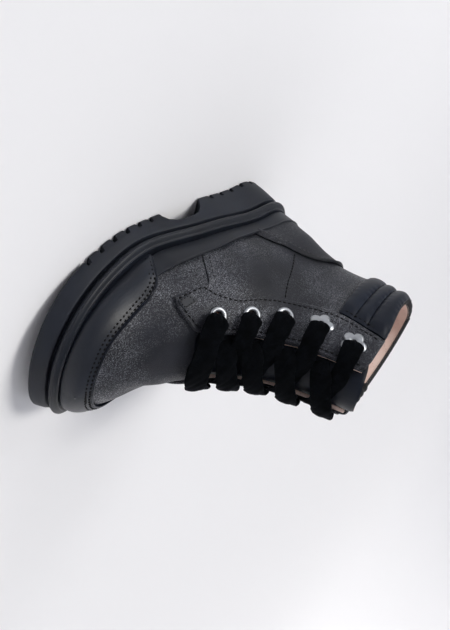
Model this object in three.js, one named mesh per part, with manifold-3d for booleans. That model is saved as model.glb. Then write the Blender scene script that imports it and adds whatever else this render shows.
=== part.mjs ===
// A child's biker boot for the right foot, standing on its sole. Lengths are in millimetres. X points to
// the toe, Y to the inner side of the foot and Z up. The boot is built from the very back of the heel, and
// at the end it is moved so that the origin is under the middle of the heel's tread.
import * as THREE from 'three';
import Module from 'manifold-3d';

const wasm = await Module();
wasm.setup();
const TAU = Math.PI * 2;

// Outsole and midsole
const soleLength = 212; // back of the heel to the toe
const ballWidth = 92; // mean width across the ball of the foot
const heelWidth = 72; // across the heel
const toeSwing = 5.4; // shift of the toe to the inner side
const heelDepth = 36; // length of the round end at the heel
const toeDepth = 47; // length of the round end at the toe
const toeFullness = 2.3; // 2 is an ellipse and more is blunter
const heelStack = 20.2; // side of the outsole at the heel
const forefootStack = 8.2; // side of the outsole at the ball
const toeSpring = 8.4; // rise of the tread at the toe
const archRise = 10; // clear height behind the ball
const sideDraft = 2.7; // outsole's tread edge beyond its upper edge
const weltHeight = 7.4; // groove, rib and groove above the outsole
const weltMargin = 8.4; // tread edge beyond the upper
const grooveDepth = 3.4; // grooves beside the rib
const ribMargin = 2.6; // rib's crest behind the tread edge
const treadDepth = 3; // channels under the sole
const treadWidth = 2.4;
const notchWidth = 3.4; // notches in the tread's edge
const notchReach = 4.5;

// Upper
const bootHeight = 140; // floor to the tongue's top
const upperWall = 2.4; // leather with its lining
const randLayer = 1.6; // rubber foxing around the foot
const overlayLayer = 1.1; // sewn-on leather: toe cap, counter and eyestays
const collarBase = 0.9; // collar between its rolls
const rollHeights = [2.2, 2.2, 2.9]; // three padded rolls from the lowest up
const tongueLayer = 3; // padded tongue
const insoleLayer = 3;
const gap = 0.3; // between pieces that touch
const flatness = 0.03; // bumps below this are flattened

// Fastenings
const ringRadius = 5;
const petalRadius = 3.3;
const petalOrbit = 4.3;
const petals = 5;
const eyeletHole = 2.4;
const eyeletLayer = 1.1;
const laceWidth = 11.5;
const laceLayer = 1.5;
const laceLift = 0.7; // lace above the eyelets and the tongue
const zipTapeLayer = 0.7;
const zipTeethHeight = 1.2;
const sliderWidth = 6;
const sliderLength = 8;
const sliderHeight = 2.2;
const pullWidth = 4.6;
const pullLength = 13;
const pullLayer = 1.4;

const clamp01 = (t) => Math.min(1, Math.max(0, t));
const mix = (a, b, t) => a + (b - a) * t;
const smooth = (low, high, t) => {
  const u = clamp01((t - low) / (high - low));
  return u * u * (3 - 2 * u);
};

// A curve without overshoot through two columns of a table.
function curveThrough(rows, from, to) {
  const x = rows.map((row) => row[from]);
  const y = rows.map((row) => row[to]);
  const last = x.length - 1;
  const rise = x.slice(1).map((_, i) => (y[i + 1] - y[i]) / (x[i + 1] - x[i]));
  const slope = x.map((_, i) => {
    if (i === 0) return rise[0];
    if (i === last) return rise[last - 1];
    if (rise[i - 1] * rise[i] <= 0) return 0;
    return (2 * rise[i - 1] * rise[i]) / (rise[i - 1] + rise[i]);
  });
  return (at) => {
    const t = Math.min(x[last], Math.max(x[0], at));
    let i = 0;
    while (i < last - 1 && t > x[i + 1]) i += 1;
    const h = x[i + 1] - x[i];
    const u = (t - x[i]) / h;
    const start = (1 + 2 * u) * (1 - u) ** 2 * y[i] + u * (1 - u) ** 2 * h * slope[i];
    const end = u * u * (3 - 2 * u) * y[i + 1] + u * u * (u - 1) * h * slope[i + 1];
    return start + end;
  };
}

// Outline of the sole from above: share of the length, of the toe's swing, of half the heel's width and,
// for each side, of half the ball's width.
const outlineRows = [
  { along: 0.0, swing: 0.0, heel: 1.0, outer: 0.0, inner: 0.0 },
  { along: 0.16, swing: 0.0, heel: 1.0, outer: 0.0, inner: 0.0 },
  { along: 0.38, swing: 0.05, heel: 0.55, outer: 0.54, inner: 0.3 },
  { along: 0.55, swing: 0.25, heel: 0.12, outer: 1.01, inner: 0.66 },
  { along: 0.68, swing: 0.45, heel: 0.0, outer: 1.18, inner: 0.84 },
  { along: 0.82, swing: 0.75, heel: 0.0, outer: 1.08, inner: 0.87 },
  { along: 1.0, swing: 1.0, heel: 0.0, outer: 0.96, inner: 0.94 },
];
const swingShare = curveThrough(outlineRows, 'along', 'swing');
const heelShare = curveThrough(outlineRows, 'along', 'heel');
const ballShare = {
  outer: curveThrough(outlineRows, 'along', 'outer'),
  inner: curveThrough(outlineRows, 'along', 'inner'),
};
const centreLine = (x) => toeSwing * swingShare(x / soleLength);
function halfWidth(x, side) {
  const along = x / soleLength;
  return (heelShare(along) * heelWidth + ballShare[side](along) * ballWidth) / 2;
}
const roundEnd = (u, power) => (1 - (1 - clamp01(u)) ** power) ** (1 / power);

// Side view of the sole: share of the difference between heel and forefoot, and of the toe's spring.
const sideRows = [
  { along: 0.0, stack: 1.0, lift: 0 },
  { along: 0.22, stack: 0.89, lift: 0 },
  { along: 0.45, stack: 0.52, lift: 0 },
  { along: 0.63, stack: 0.06, lift: 0 },
  { along: 0.76, stack: 0.0, lift: 0.16 },
  { along: 0.88, stack: 0.0, lift: 0.59 },
  { along: 1.0, stack: 0.0, lift: 1.19 },
];
const stackShare = curveThrough(sideRows, 'along', 'stack');
const liftShare = curveThrough(sideRows, 'along', 'lift');
const groundLine = (x) => toeSpring * clamp01((x / soleLength - 0.7) / 0.3) ** 2;
function soleTop(x) {
  const stack = mix(forefootStack, heelStack, stackShare(x / soleLength));
  return stack + toeSpring * liftShare(x / soleLength);
}
const featherLine = (x) => soleTop(x) + weltHeight;

// Heights of the upper as shares, with the heel's feather line at baseShare and the tongue's top at about 1.
const baseShare = 0.19;
const baseHeight = heelStack + weltHeight - 1;
const heightAt = (share) => baseHeight + ((share - baseShare) * (bootHeight - baseHeight)) / (1 - baseShare);
const shareAt = (z) => baseShare + ((z - baseHeight) * (1 - baseShare)) / (bootHeight - baseHeight);

// Sections of the upper from the feather line to the tongue's top. Each runs from a point of the back line
// to a point of the front line: shares of the sole's length and of the height. The last but one is the
// collar's rim.
const sectionRows = [
  { backX: 0.036, backZ: 0.197, frontX: 0.961, frontZ: 0.183 },
  { backX: 0.045, backZ: 0.271, frontX: 0.956, frontZ: 0.222 },
  { backX: 0.053, backZ: 0.321, frontX: 0.937, frontZ: 0.245 },
  { backX: 0.058, backZ: 0.371, frontX: 0.91, frontZ: 0.268 },
  { backX: 0.065, backZ: 0.421, frontX: 0.855, frontZ: 0.308 },
  { backX: 0.069, backZ: 0.471, frontX: 0.781, frontZ: 0.351 },
  { backX: 0.069, backZ: 0.529, frontX: 0.722, frontZ: 0.41 },
  { backX: 0.064, backZ: 0.586, frontX: 0.667, frontZ: 0.482 },
  { backX: 0.057, backZ: 0.65, frontX: 0.614, frontZ: 0.566 },
  { backX: 0.051, backZ: 0.714, frontX: 0.569, frontZ: 0.659 },
  { backX: 0.05, backZ: 0.779, frontX: 0.533, frontZ: 0.764 },
  { backX: 0.05, backZ: 0.843, frontX: 0.507, frontZ: 0.869 },
  { backX: 0.05, backZ: 0.915, frontX: 0.486, frontZ: 0.969 },
  { backX: 0.05, backZ: 0.955, frontX: 0.475, frontZ: 1.009 },
].map((row, index, all) => ({ ...row, level: index / (all.length - 1) }));
const rimLevel = sectionRows.at(-2).level;
const backX = curveThrough(sectionRows, 'level', 'backX');
const backZ = curveThrough(sectionRows, 'level', 'backZ');
const frontX = curveThrough(sectionRows, 'level', 'frontX');
const frontZ = curveThrough(sectionRows, 'level', 'frontZ');
const backAtHeight = curveThrough(sectionRows, 'backZ', 'backX');
const frontAtHeight = curveThrough(sectionRows, 'frontZ', 'frontX');
const crestAtLength = curveThrough([...sectionRows].reverse(), 'frontX', 'frontZ');
const footCrown = 1.58; // 2 is a round instep and less a ridged one

// Half width of the shaft: share of the height against share of the heel's width.
const shaftRows = [
  { height: 0.3, half: 0.42 },
  { height: 0.5, half: 0.354 },
  { height: 0.62, half: 0.355 },
  { height: 0.78, half: 0.385 },
  { height: 1.02, half: 0.378 },
];
const shaftHalf = curveThrough(shaftRows, 'height', 'half');
const upperToe = sectionRows[0].frontX * soleLength;

// Half width of the upper at a point of its side view, from the foot's form below to the shaft's above.
function upperHalf(x, z, side) {
  const share = shareAt(z);
  const back = backAtHeight(share) * soleLength;
  const heelEnd = roundEnd((x - back) / (heelDepth - weltMargin), 2.1);
  const toeEnd = roundEnd((upperToe - x) / (toeDepth - weltMargin), toeFullness);
  const base = featherLine(x);
  const crest = heightAt(crestAtLength(x / soleLength));
  const rise = crest > base + 1e-6 ? clamp01((z - base) / (crest - base)) : 0;
  const tuck = 1 - 0.05 * (1 - clamp01(rise / 0.25)) ** 2;
  const arched = tuck * Math.sqrt(1 - rise ** footCrown);
  const foot = (halfWidth(x, side) - weltMargin) * heelEnd * toeEnd * arched;
  const front = frontAtHeight(share) * soleLength;
  const across = clamp01((x - back) / (front - back)) * 2 - 1;
  const shaft = shaftHalf(share) * heelWidth * (1 - Math.abs(across) ** 2.2) ** (1 / 2.2);
  return mix(foot, shaft, smooth(0.36, 0.66, share));
}

// A point of the upper's outer face. Level 0 is the feather line and 1 the tongue's top. Turn runs from the
// back (0) along the outer side to the front (1) and back along the inner side (2).
const rimDip = 3.9; // dip of the rim on the outer side, behind the eyestay
const dipAt = (level, u) => smooth(0.84, 0.92, level) * smooth(0, 0.22, u) * (1 - smooth(0.36, 0.62, u));
function facePoint(level, turn) {
  const round = ((turn % 2) + 2) % 2;
  const side = round <= 1 ? 'outer' : 'inner';
  const u = round <= 1 ? round : 2 - round;
  const s = (1 - Math.cos(Math.PI * u)) / 2;
  const x0 = backX(level) * soleLength;
  const x1 = frontX(level) * soleLength;
  const z0 = heightAt(backZ(level));
  const z1 = heightAt(frontZ(level));
  const x = mix(x0, x1, s);
  const sag = featherLine(x) - mix(featherLine(x0), featherLine(x1), s);
  const z = mix(z0, z1, s) + sag * Math.max(0, 1 - level) ** 1.5 + Math.min(level, 0) * bootHeight;
  const half = u === 0 || u === 1 ? 0 : upperHalf(x, z, side);
  const middle = centreLine(x) * (1 - smooth(0.4, 0.8, shareAt(z)));
  const dip = side === 'outer' ? rimDip * dipAt(level, u) : 0;
  return new THREE.Vector3(x, middle + (side === 'outer' ? -half : half), z - dip);
}

function faceNormal(level, turn) {
  const step = 0.012;
  const low = Math.min(1 - 2 * step, Math.max(0, level - step));
  const high = low + 2 * step;
  const around = facePoint(level, turn + step).sub(facePoint(level, turn - step));
  const up = facePoint(high, turn).sub(facePoint(low, turn));
  const normal = around.cross(up).normalize();
  normal.z *= smooth(0, 0.06, level);
  return normal.normalize();
}
function faceOffset(level, turn, out) {
  return facePoint(level, turn).addScaledVector(faceNormal(level, turn), out);
}

// Closed solids
function solidFrom(verts, faces) {
  const build = (triangles) => new wasm.Manifold(new wasm.Mesh({
    numProp: 3,
    vertProperties: new Float32Array(verts.flatMap((p) => [p.x, p.y, p.z])),
    triVerts: new Uint32Array(triangles.flat()),
  }));
  const solid = build(faces);
  return solid.volume() > 0 ? solid : build(faces.map(([a, b, c]) => [a, c, b]));
}

// Solid between an outer and an inner sheet of points, rows by columns; ring closes the columns.
function solidFromSheets(outer, inner, ring = false) {
  const rows = outer.length;
  const cols = outer[0].length;
  const at = (sheet, j, i) => (sheet * rows + j) * cols + (i % cols);
  const faces = [];
  const quad = (a, b, c, d) => faces.push([a, b, c], [a, c, d]);
  const lastCol = ring ? cols : cols - 1;
  for (let j = 0; j < rows - 1; j += 1) {
    for (let i = 0; i < lastCol; i += 1) {
      quad(at(0, j, i), at(0, j, i + 1), at(0, j + 1, i + 1), at(0, j + 1, i));
      quad(at(1, j, i), at(1, j + 1, i), at(1, j + 1, i + 1), at(1, j, i + 1));
    }
  }
  for (let i = 0; i < lastCol; i += 1) {
    quad(at(0, 0, i), at(1, 0, i), at(1, 0, i + 1), at(0, 0, i + 1));
    quad(at(0, rows - 1, i), at(0, rows - 1, i + 1), at(1, rows - 1, i + 1), at(1, rows - 1, i));
  }
  for (let j = 0; j < rows - 1 && !ring; j += 1) {
    quad(at(0, j, 0), at(0, j + 1, 0), at(1, j + 1, 0), at(1, j, 0));
    quad(at(0, j, cols - 1), at(1, j, cols - 1), at(1, j + 1, cols - 1), at(0, j + 1, cols - 1));
  }
  return solidFrom([...outer.flat(2), ...inner.flat(2)], faces);
}

// Piece of the face, thickened. The place of a point is a function of its shares across and up, which gives
// its level and turn; low and high are its offsets from the face.
function facePiece({ cols, rows, place, low, high }) {
  const outer = [];
  const inner = [];
  for (let j = 0; j <= rows; j += 1) {
    const outerRow = [];
    const innerRow = [];
    for (let i = 0; i <= cols; i += 1) {
      const [level, turn] = place(i / cols, j / rows);
      const point = facePoint(level, turn);
      const normal = faceNormal(level, turn);
      outerRow.push(point.clone().addScaledVector(normal, high(i / cols, j / rows)));
      innerRow.push(point.clone().addScaledVector(normal, low(i / cols, j / rows)));
    }
    outer.push(outerRow);
    inner.push(innerRow);
  }
  return solidFromSheets(outer, inner);
}

// Ring between two offsets of the whole face, up to the rim.
const aroundSteps = 42;
const upSteps = 17;
function shell(low, high) {
  const turns = Array.from({ length: aroundSteps }, (_, i) => (2 * i) / aroundSteps);
  const levels = Array.from({ length: upSteps + 1 }, (_, j) => (j / upSteps) * rimLevel);
  const sheet = (out) => levels.map((level) => turns.map((turn) => faceOffset(level, turn, out)));
  return solidFromSheets(sheet(high), sheet(low), true);
}

// Largest of the separate solids that a cut leaves.
const largest = (solid) => solid.decompose().reduce((a, b) => (b.volume() > a.volume() ? b : a));

// Overlay on the upper: the part of a shell inside a region of the face.
function overlay(thickness, cols, rows, place) {
  const region = facePiece({ cols, rows, place, low: () => -upperWall, high: () => 3 * upperWall });
  return largest(shell(gap, gap + thickness).intersect(region));
}

// Outline of the sole as a closed loop, some way inside the tread's edge, at a height given along the boot.
const loopSteps = 24;
function soleLoop(inset, heightAt) {
  const points = [];
  for (let i = 0; i < 2 * loopSteps; i += 1) {
    const side = i <= loopSteps ? 'outer' : 'inner';
    const u = i <= loopSteps ? i / loopSteps : 2 - i / loopSteps;
    const x = mix(inset, soleLength - inset, (1 - Math.cos(Math.PI * u)) / 2);
    const heelEnd = roundEnd((x - inset) / (heelDepth - inset), 2.1);
    const toeEnd = roundEnd((soleLength - inset - x) / (toeDepth - inset), toeFullness);
    const half = (halfWidth(x, side) - inset) * heelEnd * toeEnd;
    points.push(new THREE.Vector3(x, centreLine(x) + (side === 'outer' ? -half : half), heightAt(x)));
  }
  return points;
}

// Solid through loops from the bottom up, closed at both ends by strips from side to side.
function loft(loops) {
  const count = loops[0].length;
  const faces = [];
  for (let j = 0; j < loops.length - 1; j += 1) {
    for (let i = 0; i < count; i += 1) {
      const a = j * count + i;
      const b = j * count + ((i + 1) % count);
      faces.push([a, b, b + count], [a, b + count, a + count]);
    }
  }
  const top = (loops.length - 1) * count;
  for (let i = 0; i < count / 2; i += 1) {
    const across = (k) => (count - k) % count;
    const [a, b, c, d] = [i, i + 1, across(i + 1), across(i)];
    if (a !== d) faces.push([a, d, b], [top + a, top + b, top + d]);
    if (b !== c) faces.push([b, d, c], [top + b, top + c, top + d]);
  }
  return solidFrom(loops.flat(), faces);
}

// Prism across the boot from a polygon of its side view.
function sidePrism(polygon, fromY, toY) {
  return new wasm.CrossSection([polygon], 'NonZero')
    .extrude(toY - fromY)
    .rotate([90, 0, 0])
    .translate([0, toY, 0]);
}

// Outsole: a slab with drafted sides, an arch behind the ball, cross channels and a notch in the edge at
// the end of each channel.
const archRows = [
  { along: 0.358, rise: 0.0 },
  { along: 0.424, rise: 1.0 },
  { along: 0.486, rise: 0.9 },
  { along: 0.521, rise: 0.65 },
  { along: 0.536, rise: 0.0 },
];
const channelGroups = [
  { from: 0.105, to: 0.31, count: 5 },
  { from: 0.575, to: 0.8, count: 6 },
];
const channelAt = (group, k) => mix(group.from, group.to, k / (group.count - 1)) * soleLength;
function makeOutsole() {
  const between = (share) => (x) => mix(groundLine(x), soleTop(x), share);
  let solid = loft([
    soleLoop(1, groundLine),
    soleLoop(0, (x) => groundLine(x) + 1.2),
    soleLoop(sideDraft * 0.5, between(0.55)),
    soleLoop(sideDraft, (x) => soleTop(x) - 1),
    soleLoop(sideDraft + 1, soleTop),
  ]);
  const arch = archRows.map((row) => [row.along * soleLength, row.rise * archRise]);
  arch.unshift([arch[0][0], -5]);
  arch.push([arch.at(-1)[0], -5]);
  const reach = ballWidth;
  solid = solid.subtract(sidePrism(arch, -reach, reach));
  for (const group of channelGroups) {
    for (let k = 0; k < group.count; k += 1) {
      const x = channelAt(group, k);
      const floor = groundLine(x) + treadDepth;
      const half = treadWidth / 2;
      const channel = [[x - half, -5], [x + half, -5], [x + half, floor], [x - half, floor]];
      solid = solid.subtract(sidePrism(channel, -reach, reach));
      for (const side of ['outer', 'inner']) {
        const way = side === 'outer' ? -1 : 1;
        const edge = centreLine(x) + way * halfWidth(x, side);
        const far = edge + way * notchReach;
        const near = edge - way * notchReach;
        const peak = floor + 0.8;
        const notch = [[x - notchWidth, -5], [x + notchWidth, -5], [x + half, peak], [x - half, peak]];
        solid = solid.subtract(sidePrism(notch, Math.min(near, far), Math.max(near, far)));
      }
    }
  }
  return solid;
}

// Midsole: a lower groove, a round rib and an upper groove.
const ribRows = [
  { height: 0.0, crest: 0.0 },
  { height: 0.22, crest: 0.05 },
  { height: 0.4, crest: 0.9 },
  { height: 0.66, crest: 0.9 },
  { height: 0.84, crest: 0.1 },
  { height: 1.0, crest: 0.0 },
];
function makeMidsole() {
  return loft(ribRows.map((row) => {
    const inset = mix(ribMargin + grooveDepth, ribMargin, row.crest);
    return soleLoop(inset, (x) => soleTop(x) + mix(gap, weltHeight - gap, row.height));
  }));
}

// Edges of the overlays on the face, on the outer side: turns and levels of the eyestay, the rand, the
// counter and the toe cap.
const eyestayRows = [
  { level: 0.27, rear: 0.615, front: 0.668 },
  { level: 0.338, rear: 0.625, front: 0.72 },
  { level: 0.4, rear: 0.648, front: 0.775 },
  { level: 0.462, rear: 0.645, front: 0.815 },
  { level: 0.523, rear: 0.605, front: 0.803 },
  { level: 0.569, rear: 0.58, front: 0.79 },
  { level: 0.631, rear: 0.572, front: 0.782 },
  { level: 0.72, rear: 0.58, front: 0.788 },
  { level: 0.81, rear: 0.595, front: 0.8 },
  { level: 0.94, rear: 0.625, front: 0.8 },
];
const eyestayRear = curveThrough(eyestayRows, 'level', 'rear');
const eyestayFront = curveThrough(eyestayRows, 'level', 'front');
const eyestayFoot = 0.315; // level of its rear lower corner
const eyestayPoint = 0.278; // level of its front lower corner
const throatLevel = 0.452;
const randRows = [
  { turn: 0.0, level: 0.098 },
  { turn: 0.14, level: 0.09 },
  { turn: 0.245, level: 0.078 },
  { turn: 0.325, level: 0.074 },
  { turn: 0.4, level: 0.085 },
  { turn: 0.46, level: 0.105 },
  { turn: 0.52, level: 0.125 },
  { turn: 0.56, level: 0.134 },
  { turn: 0.63, level: 0.125 },
];
const randTop = curveThrough(randRows, 'turn', 'level');
const capRows = [
  { turn: 0.606, level: 0.012 },
  { turn: 0.615, level: 0.04 },
  { turn: 0.63, level: 0.092 },
  { turn: 0.645, level: 0.146 },
  { turn: 0.67, level: 0.185 },
  { turn: 0.7, level: 0.202 },
  { turn: 0.76, level: 0.2 },
  { turn: 0.82, level: 0.194 },
  { turn: 0.89, level: 0.206 },
  { turn: 1.0, level: 0.218 },
];
const capTop = curveThrough(capRows, 'turn', 'level');
const counterRows = [
  { level: 0.07, half: 0.34 },
  { level: 0.2, half: 0.325 },
  { level: 0.27, half: 0.312 },
  { level: 0.36, half: 0.308 },
  { level: 0.438, half: 0.29 },
  { level: 0.475, half: 0.255 },
  { level: 0.5, half: 0.2 },
  { level: 0.515, half: 0.12 },
];
const counterHalf = curveThrough(counterRows, 'level', 'half');
const collarRows = [
  { turn: 0.0, low: 0.69, first: 0.765, second: 0.825 },
  { turn: 0.3, low: 0.7, first: 0.775, second: 0.83 },
  { turn: 0.485, low: 0.731, first: 0.79, second: 0.84 },
  { turn: 0.6, low: 0.754, first: 0.802, second: 0.854 },
];
const collarLine = {
  low: curveThrough(collarRows, 'turn', 'low'),
  first: curveThrough(collarRows, 'turn', 'first'),
  second: curveThrough(collarRows, 'turn', 'second'),
};
const zipRows = [
  { level: 0.16, turn: 0.444 },
  { level: 0.3, turn: 0.45 },
  { level: 0.5, turn: 0.482 },
  { level: 0.72, turn: 0.525 },
  { level: 0.93, turn: 0.55 },
];
const zipTurn = curveThrough(zipRows, 'level', 'turn');
const zipHalf = 0.042; // half of the tape, as a turn
const zipTeethHalf = 0.014; // half of the teeth, as a turn
const seam = 0.006; // gap between neighbouring overlays, as a turn
const innerSide = (turn) => 2 - turn;

// Upper: one hollow wall, open at the rim, at the throat and underneath.
function makeUpper() {
  const throat = facePiece({
    cols: 6,
    rows: 8,
    place: (across, share) => {
      const level = mix(throatLevel, 1, share);
      const edge = eyestayFront(level);
      return [level, mix(edge, innerSide(edge), across)];
    },
    low: () => -2.5 * upperWall,
    high: () => upperWall,
  });
  return shell(-upperWall, 0).subtract(throat);
}

function makeInsole() {
  const steps = 18;
  const loop = (height) => Array.from({ length: 2 * steps }, (_, i) => {
    const p = faceOffset(0.05, i / steps, -upperWall - 4 * gap);
    return new THREE.Vector3(p.x, p.y, featherLine(p.x) + height);
  });
  return loft([loop(0), loop(insoleLayer)]);
}

const tongueRows = [
  { level: 0.375, half: 0.19 },
  { level: 0.5, half: 0.27 },
  { level: 0.7, half: 0.29 },
  { level: 1.0, half: 0.25 },
];
const tongueHalf = curveThrough(tongueRows, 'level', 'half');
const tongueFoot = 0.375;
function makeTongue() {
  const under = -upperWall - 4 * gap;
  const place = (across, share) => {
    const top = 1 - 0.022 * Math.abs(2 * across - 1) ** 4;
    const level = mix(tongueFoot, top, share);
    return [level, 1 + mix(-1, 1, across) * tongueHalf(level)];
  };
  const face = (across, share) => {
    const [level, turn] = place(across, share);
    const clear = 1 - eyestayFront(level) - Math.abs(turn - 1);
    return under + 2.6 * smooth(0.01, 0.07, clear) * smooth(throatLevel + 0.02, throatLevel + 0.08, level);
  };
  return facePiece({ cols: 12, rows: 12, place, low: (a, s) => face(a, s) - tongueLayer, high: face });
}

function makeRand() {
  return overlay(randLayer, 44, 3, (across, share) => {
    const end = 0.597 + 0.02 * share;
    const turn = mix(-end, end, across);
    return [mix(-0.02, randTop(Math.abs(turn)), share), turn];
  });
}

function makeToeCap() {
  const start = capRows[0].turn;
  return overlay(overlayLayer, 40, 3, (across, share) => {
    const turn = mix(start, innerSide(start), across);
    return [mix(-0.02, capTop(Math.min(turn, innerSide(turn))), share), turn];
  });
}

function makeCounter() {
  const top = counterRows.at(-1).level;
  return overlay(overlayLayer, 12, 10, (across, share) => {
    const spread = mix(-1, 1, across);
    const foot = randTop(Math.abs(spread) * 0.34) + 0.012;
    const level = mix(foot, top, share);
    return [level, spread * counterHalf(level)];
  });
}

function makeEyestay(mirror, holes) {
  const piece = overlay(overlayLayer, 4, 18, (across, share) => {
    const foot = mix(eyestayFoot, eyestayPoint, across);
    const level = mix(foot, 1, share);
    const turn = mix(eyestayRear(level), eyestayFront(level), across);
    return [level, mirror ? innerSide(turn) : turn];
  });
  return holes.reduce((solid, hole) => solid.subtract(hole), piece);
}

// Padded collar from the zip around the back to the outer eyestay, with three rolls.
function makeCollar() {
  const lowest = collarLine.low(0.6);
  const padding = facePiece({
    cols: 20,
    rows: 12,
    place: (across, share) => {
      const guess = mix(lowest, rimLevel, share);
      const zipSide = zipTurn(guess) - zipHalf - seam;
      const turn = mix(-zipSide, eyestayRear(guess) - seam, across);
      const lines = ['low', 'first', 'second'].map((key) => collarLine[key](Math.abs(turn)));
      lines.push(rimLevel);
      const roll = Math.min(2, Math.floor(share * 3));
      return [mix(lines[roll], lines[roll + 1], share * 3 - roll), turn];
    },
    low: () => -upperWall,
    high: (across, share) => {
      const roll = Math.min(2, Math.floor(share * 3));
      const swell = Math.sin(Math.PI * clamp01(share * 3 - roll)) ** 0.7;
      const hem = smooth(0, 0.06, Math.min(across, 1 - across));
      return gap + collarBase + (rollHeights[roll] - collarBase) * swell * mix(0.3, 1, hem);
    },
  });
  return padding.intersect(shell(gap, 4 * upperWall));
}

// A frame on the face: its Z axis leaves the boot and its Y axis runs up the boot.
function faceFrame(level, turn, out) {
  const normal = faceNormal(level, turn);
  const up = facePoint(level + 0.01, turn).sub(facePoint(level - 0.01, turn));
  up.addScaledVector(normal, -up.dot(normal)).normalize();
  const side = new THREE.Vector3().crossVectors(up, normal);
  const frame = new THREE.Matrix4().makeBasis(side, up, normal);
  return frame.setPosition(faceOffset(level, turn, out));
}
const placed = (solid, frame) => solid.transform(frame.elements);

// Rise is how far up the boot a lace bows between its ends, and dive is where it goes under the far
// eyestay, as a share of the way up from the eyelet below.
const eyeletRows = [
  { level: 0.469, turn: 0.74, flower: false, rise: 0.048, dive: 1 },
  { level: 0.546, turn: 0.7, flower: false, rise: 0.052, dive: 0.92 },
  { level: 0.623, turn: 0.66, flower: false, rise: 0.055, dive: 0.78 },
  { level: 0.738, turn: 0.668, flower: true, rise: 0.038, dive: 0.68 },
  { level: 0.854, turn: 0.7, flower: true, rise: 0.035, dive: 0.55 },
];
const eyeletSeat = 4 * gap + overlayLayer;
function eyeletPlate(flower) {
  let plate = wasm.Manifold.cylinder(eyeletLayer, flower ? petalOrbit : ringRadius, -1, flower ? 10 : 15);
  for (let k = 0; flower && k < petals; k += 1) {
    const angle = (k * TAU) / petals + TAU / 4;
    const petal = wasm.Manifold.cylinder(eyeletLayer, petalRadius, -1, 8);
    plate = plate.add(petal.translate([petalOrbit * Math.cos(angle), petalOrbit * Math.sin(angle), 0]));
  }
  const drill = wasm.Manifold.cylinder(3 * eyeletLayer, eyeletHole, -1, 10);
  return plate.subtract(drill.translate([0, 0, -eyeletLayer]));
}
const eyeletTurn = (row, mirror) => (mirror ? innerSide(row.turn) : row.turn);
const eyeletFrame = (row, mirror) => faceFrame(row.level, eyeletTurn(row, mirror), eyeletSeat);
const makeEyelet = (row, mirror) => placed(eyeletPlate(row.flower), eyeletFrame(row, mirror));
function eyeletHoles(mirror) {
  return eyeletRows.map((row) => {
    const drill = wasm.Manifold.cylinder(4 * upperWall, eyeletHole, -1, 8);
    return placed(drill.translate([0, 0, -3 * upperWall]), eyeletFrame(row, mirror));
  });
}

// A ribbon from one place of the face to another, lifted above the face and bowed up the boot.
function ribbon(from, to, liftAt, rise) {
  const steps = 8;
  const outer = [];
  const inner = [];
  const spot = (t) => [mix(from.level, to.level, t) + rise * 4 * t * (1 - t), mix(from.turn, to.turn, t)];
  for (let j = 0; j <= steps; j += 1) {
    const t = j / steps;
    const [level, turn] = spot(t);
    const normal = faceNormal(level, turn);
    const along = facePoint(...spot(t + 0.01)).sub(facePoint(...spot(t - 0.01)));
    const across = new THREE.Vector3().crossVectors(normal, along).normalize();
    const middle = faceOffset(level, turn, liftAt(t));
    const end = Math.min(t, 1 - t) * steps;
    const width = laceWidth * (end < 1 ? 0.78 : 1);
    const edge = (side, out) => middle
      .clone()
      .addScaledVector(across, side * width)
      .addScaledVector(normal, out - side * side);
    outer.push([-0.5, 0, 0.5].map((side) => edge(side, laceLayer)));
    inner.push([-0.5, 0, 0.5].map((side) => edge(side, 0)));
  }
  return solidFromSheets(outer, inner);
}
const overEyelet = eyeletSeat + eyeletLayer + laceLift;
const crossLift = 2.8; // laces above the face where they cross
const hiddenLift = 0.1; // and where they dive under the eyestay
function makeLaceBar() {
  const row = eyeletRows[0];
  const lift = (t) => mix(overEyelet + 0.6, crossLift, smooth(0.05, 0.4, Math.min(t, 1 - t)));
  const start = { level: row.level, turn: row.turn + 0.02 };
  return ribbon(start, { level: row.level, turn: innerSide(start.turn) }, lift, row.rise);
}
function makeLaceCross(index) {
  const below = eyeletRows[index - 1];
  const row = eyeletRows[index];
  const hidden = mix(below.level, row.level, row.dive);
  const inside = eyestayFront(hidden) + 0.035;
  function lift(t) {
    const open = mix(overEyelet + 0.5, crossLift, smooth(0.1, 0.5, t));
    return mix(open, hiddenLift, smooth(0.55, 0.95, t));
  }
  const top = { level: row.level, turn: row.turn + 0.02 };
  const first = ribbon(top, { level: hidden, turn: innerSide(inside) }, lift, row.rise);
  const mirrored = { level: row.level, turn: innerSide(top.turn) };
  const second = ribbon(mirrored, { level: hidden, turn: inside }, lift, row.rise);
  return first.add(second);
}

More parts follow.
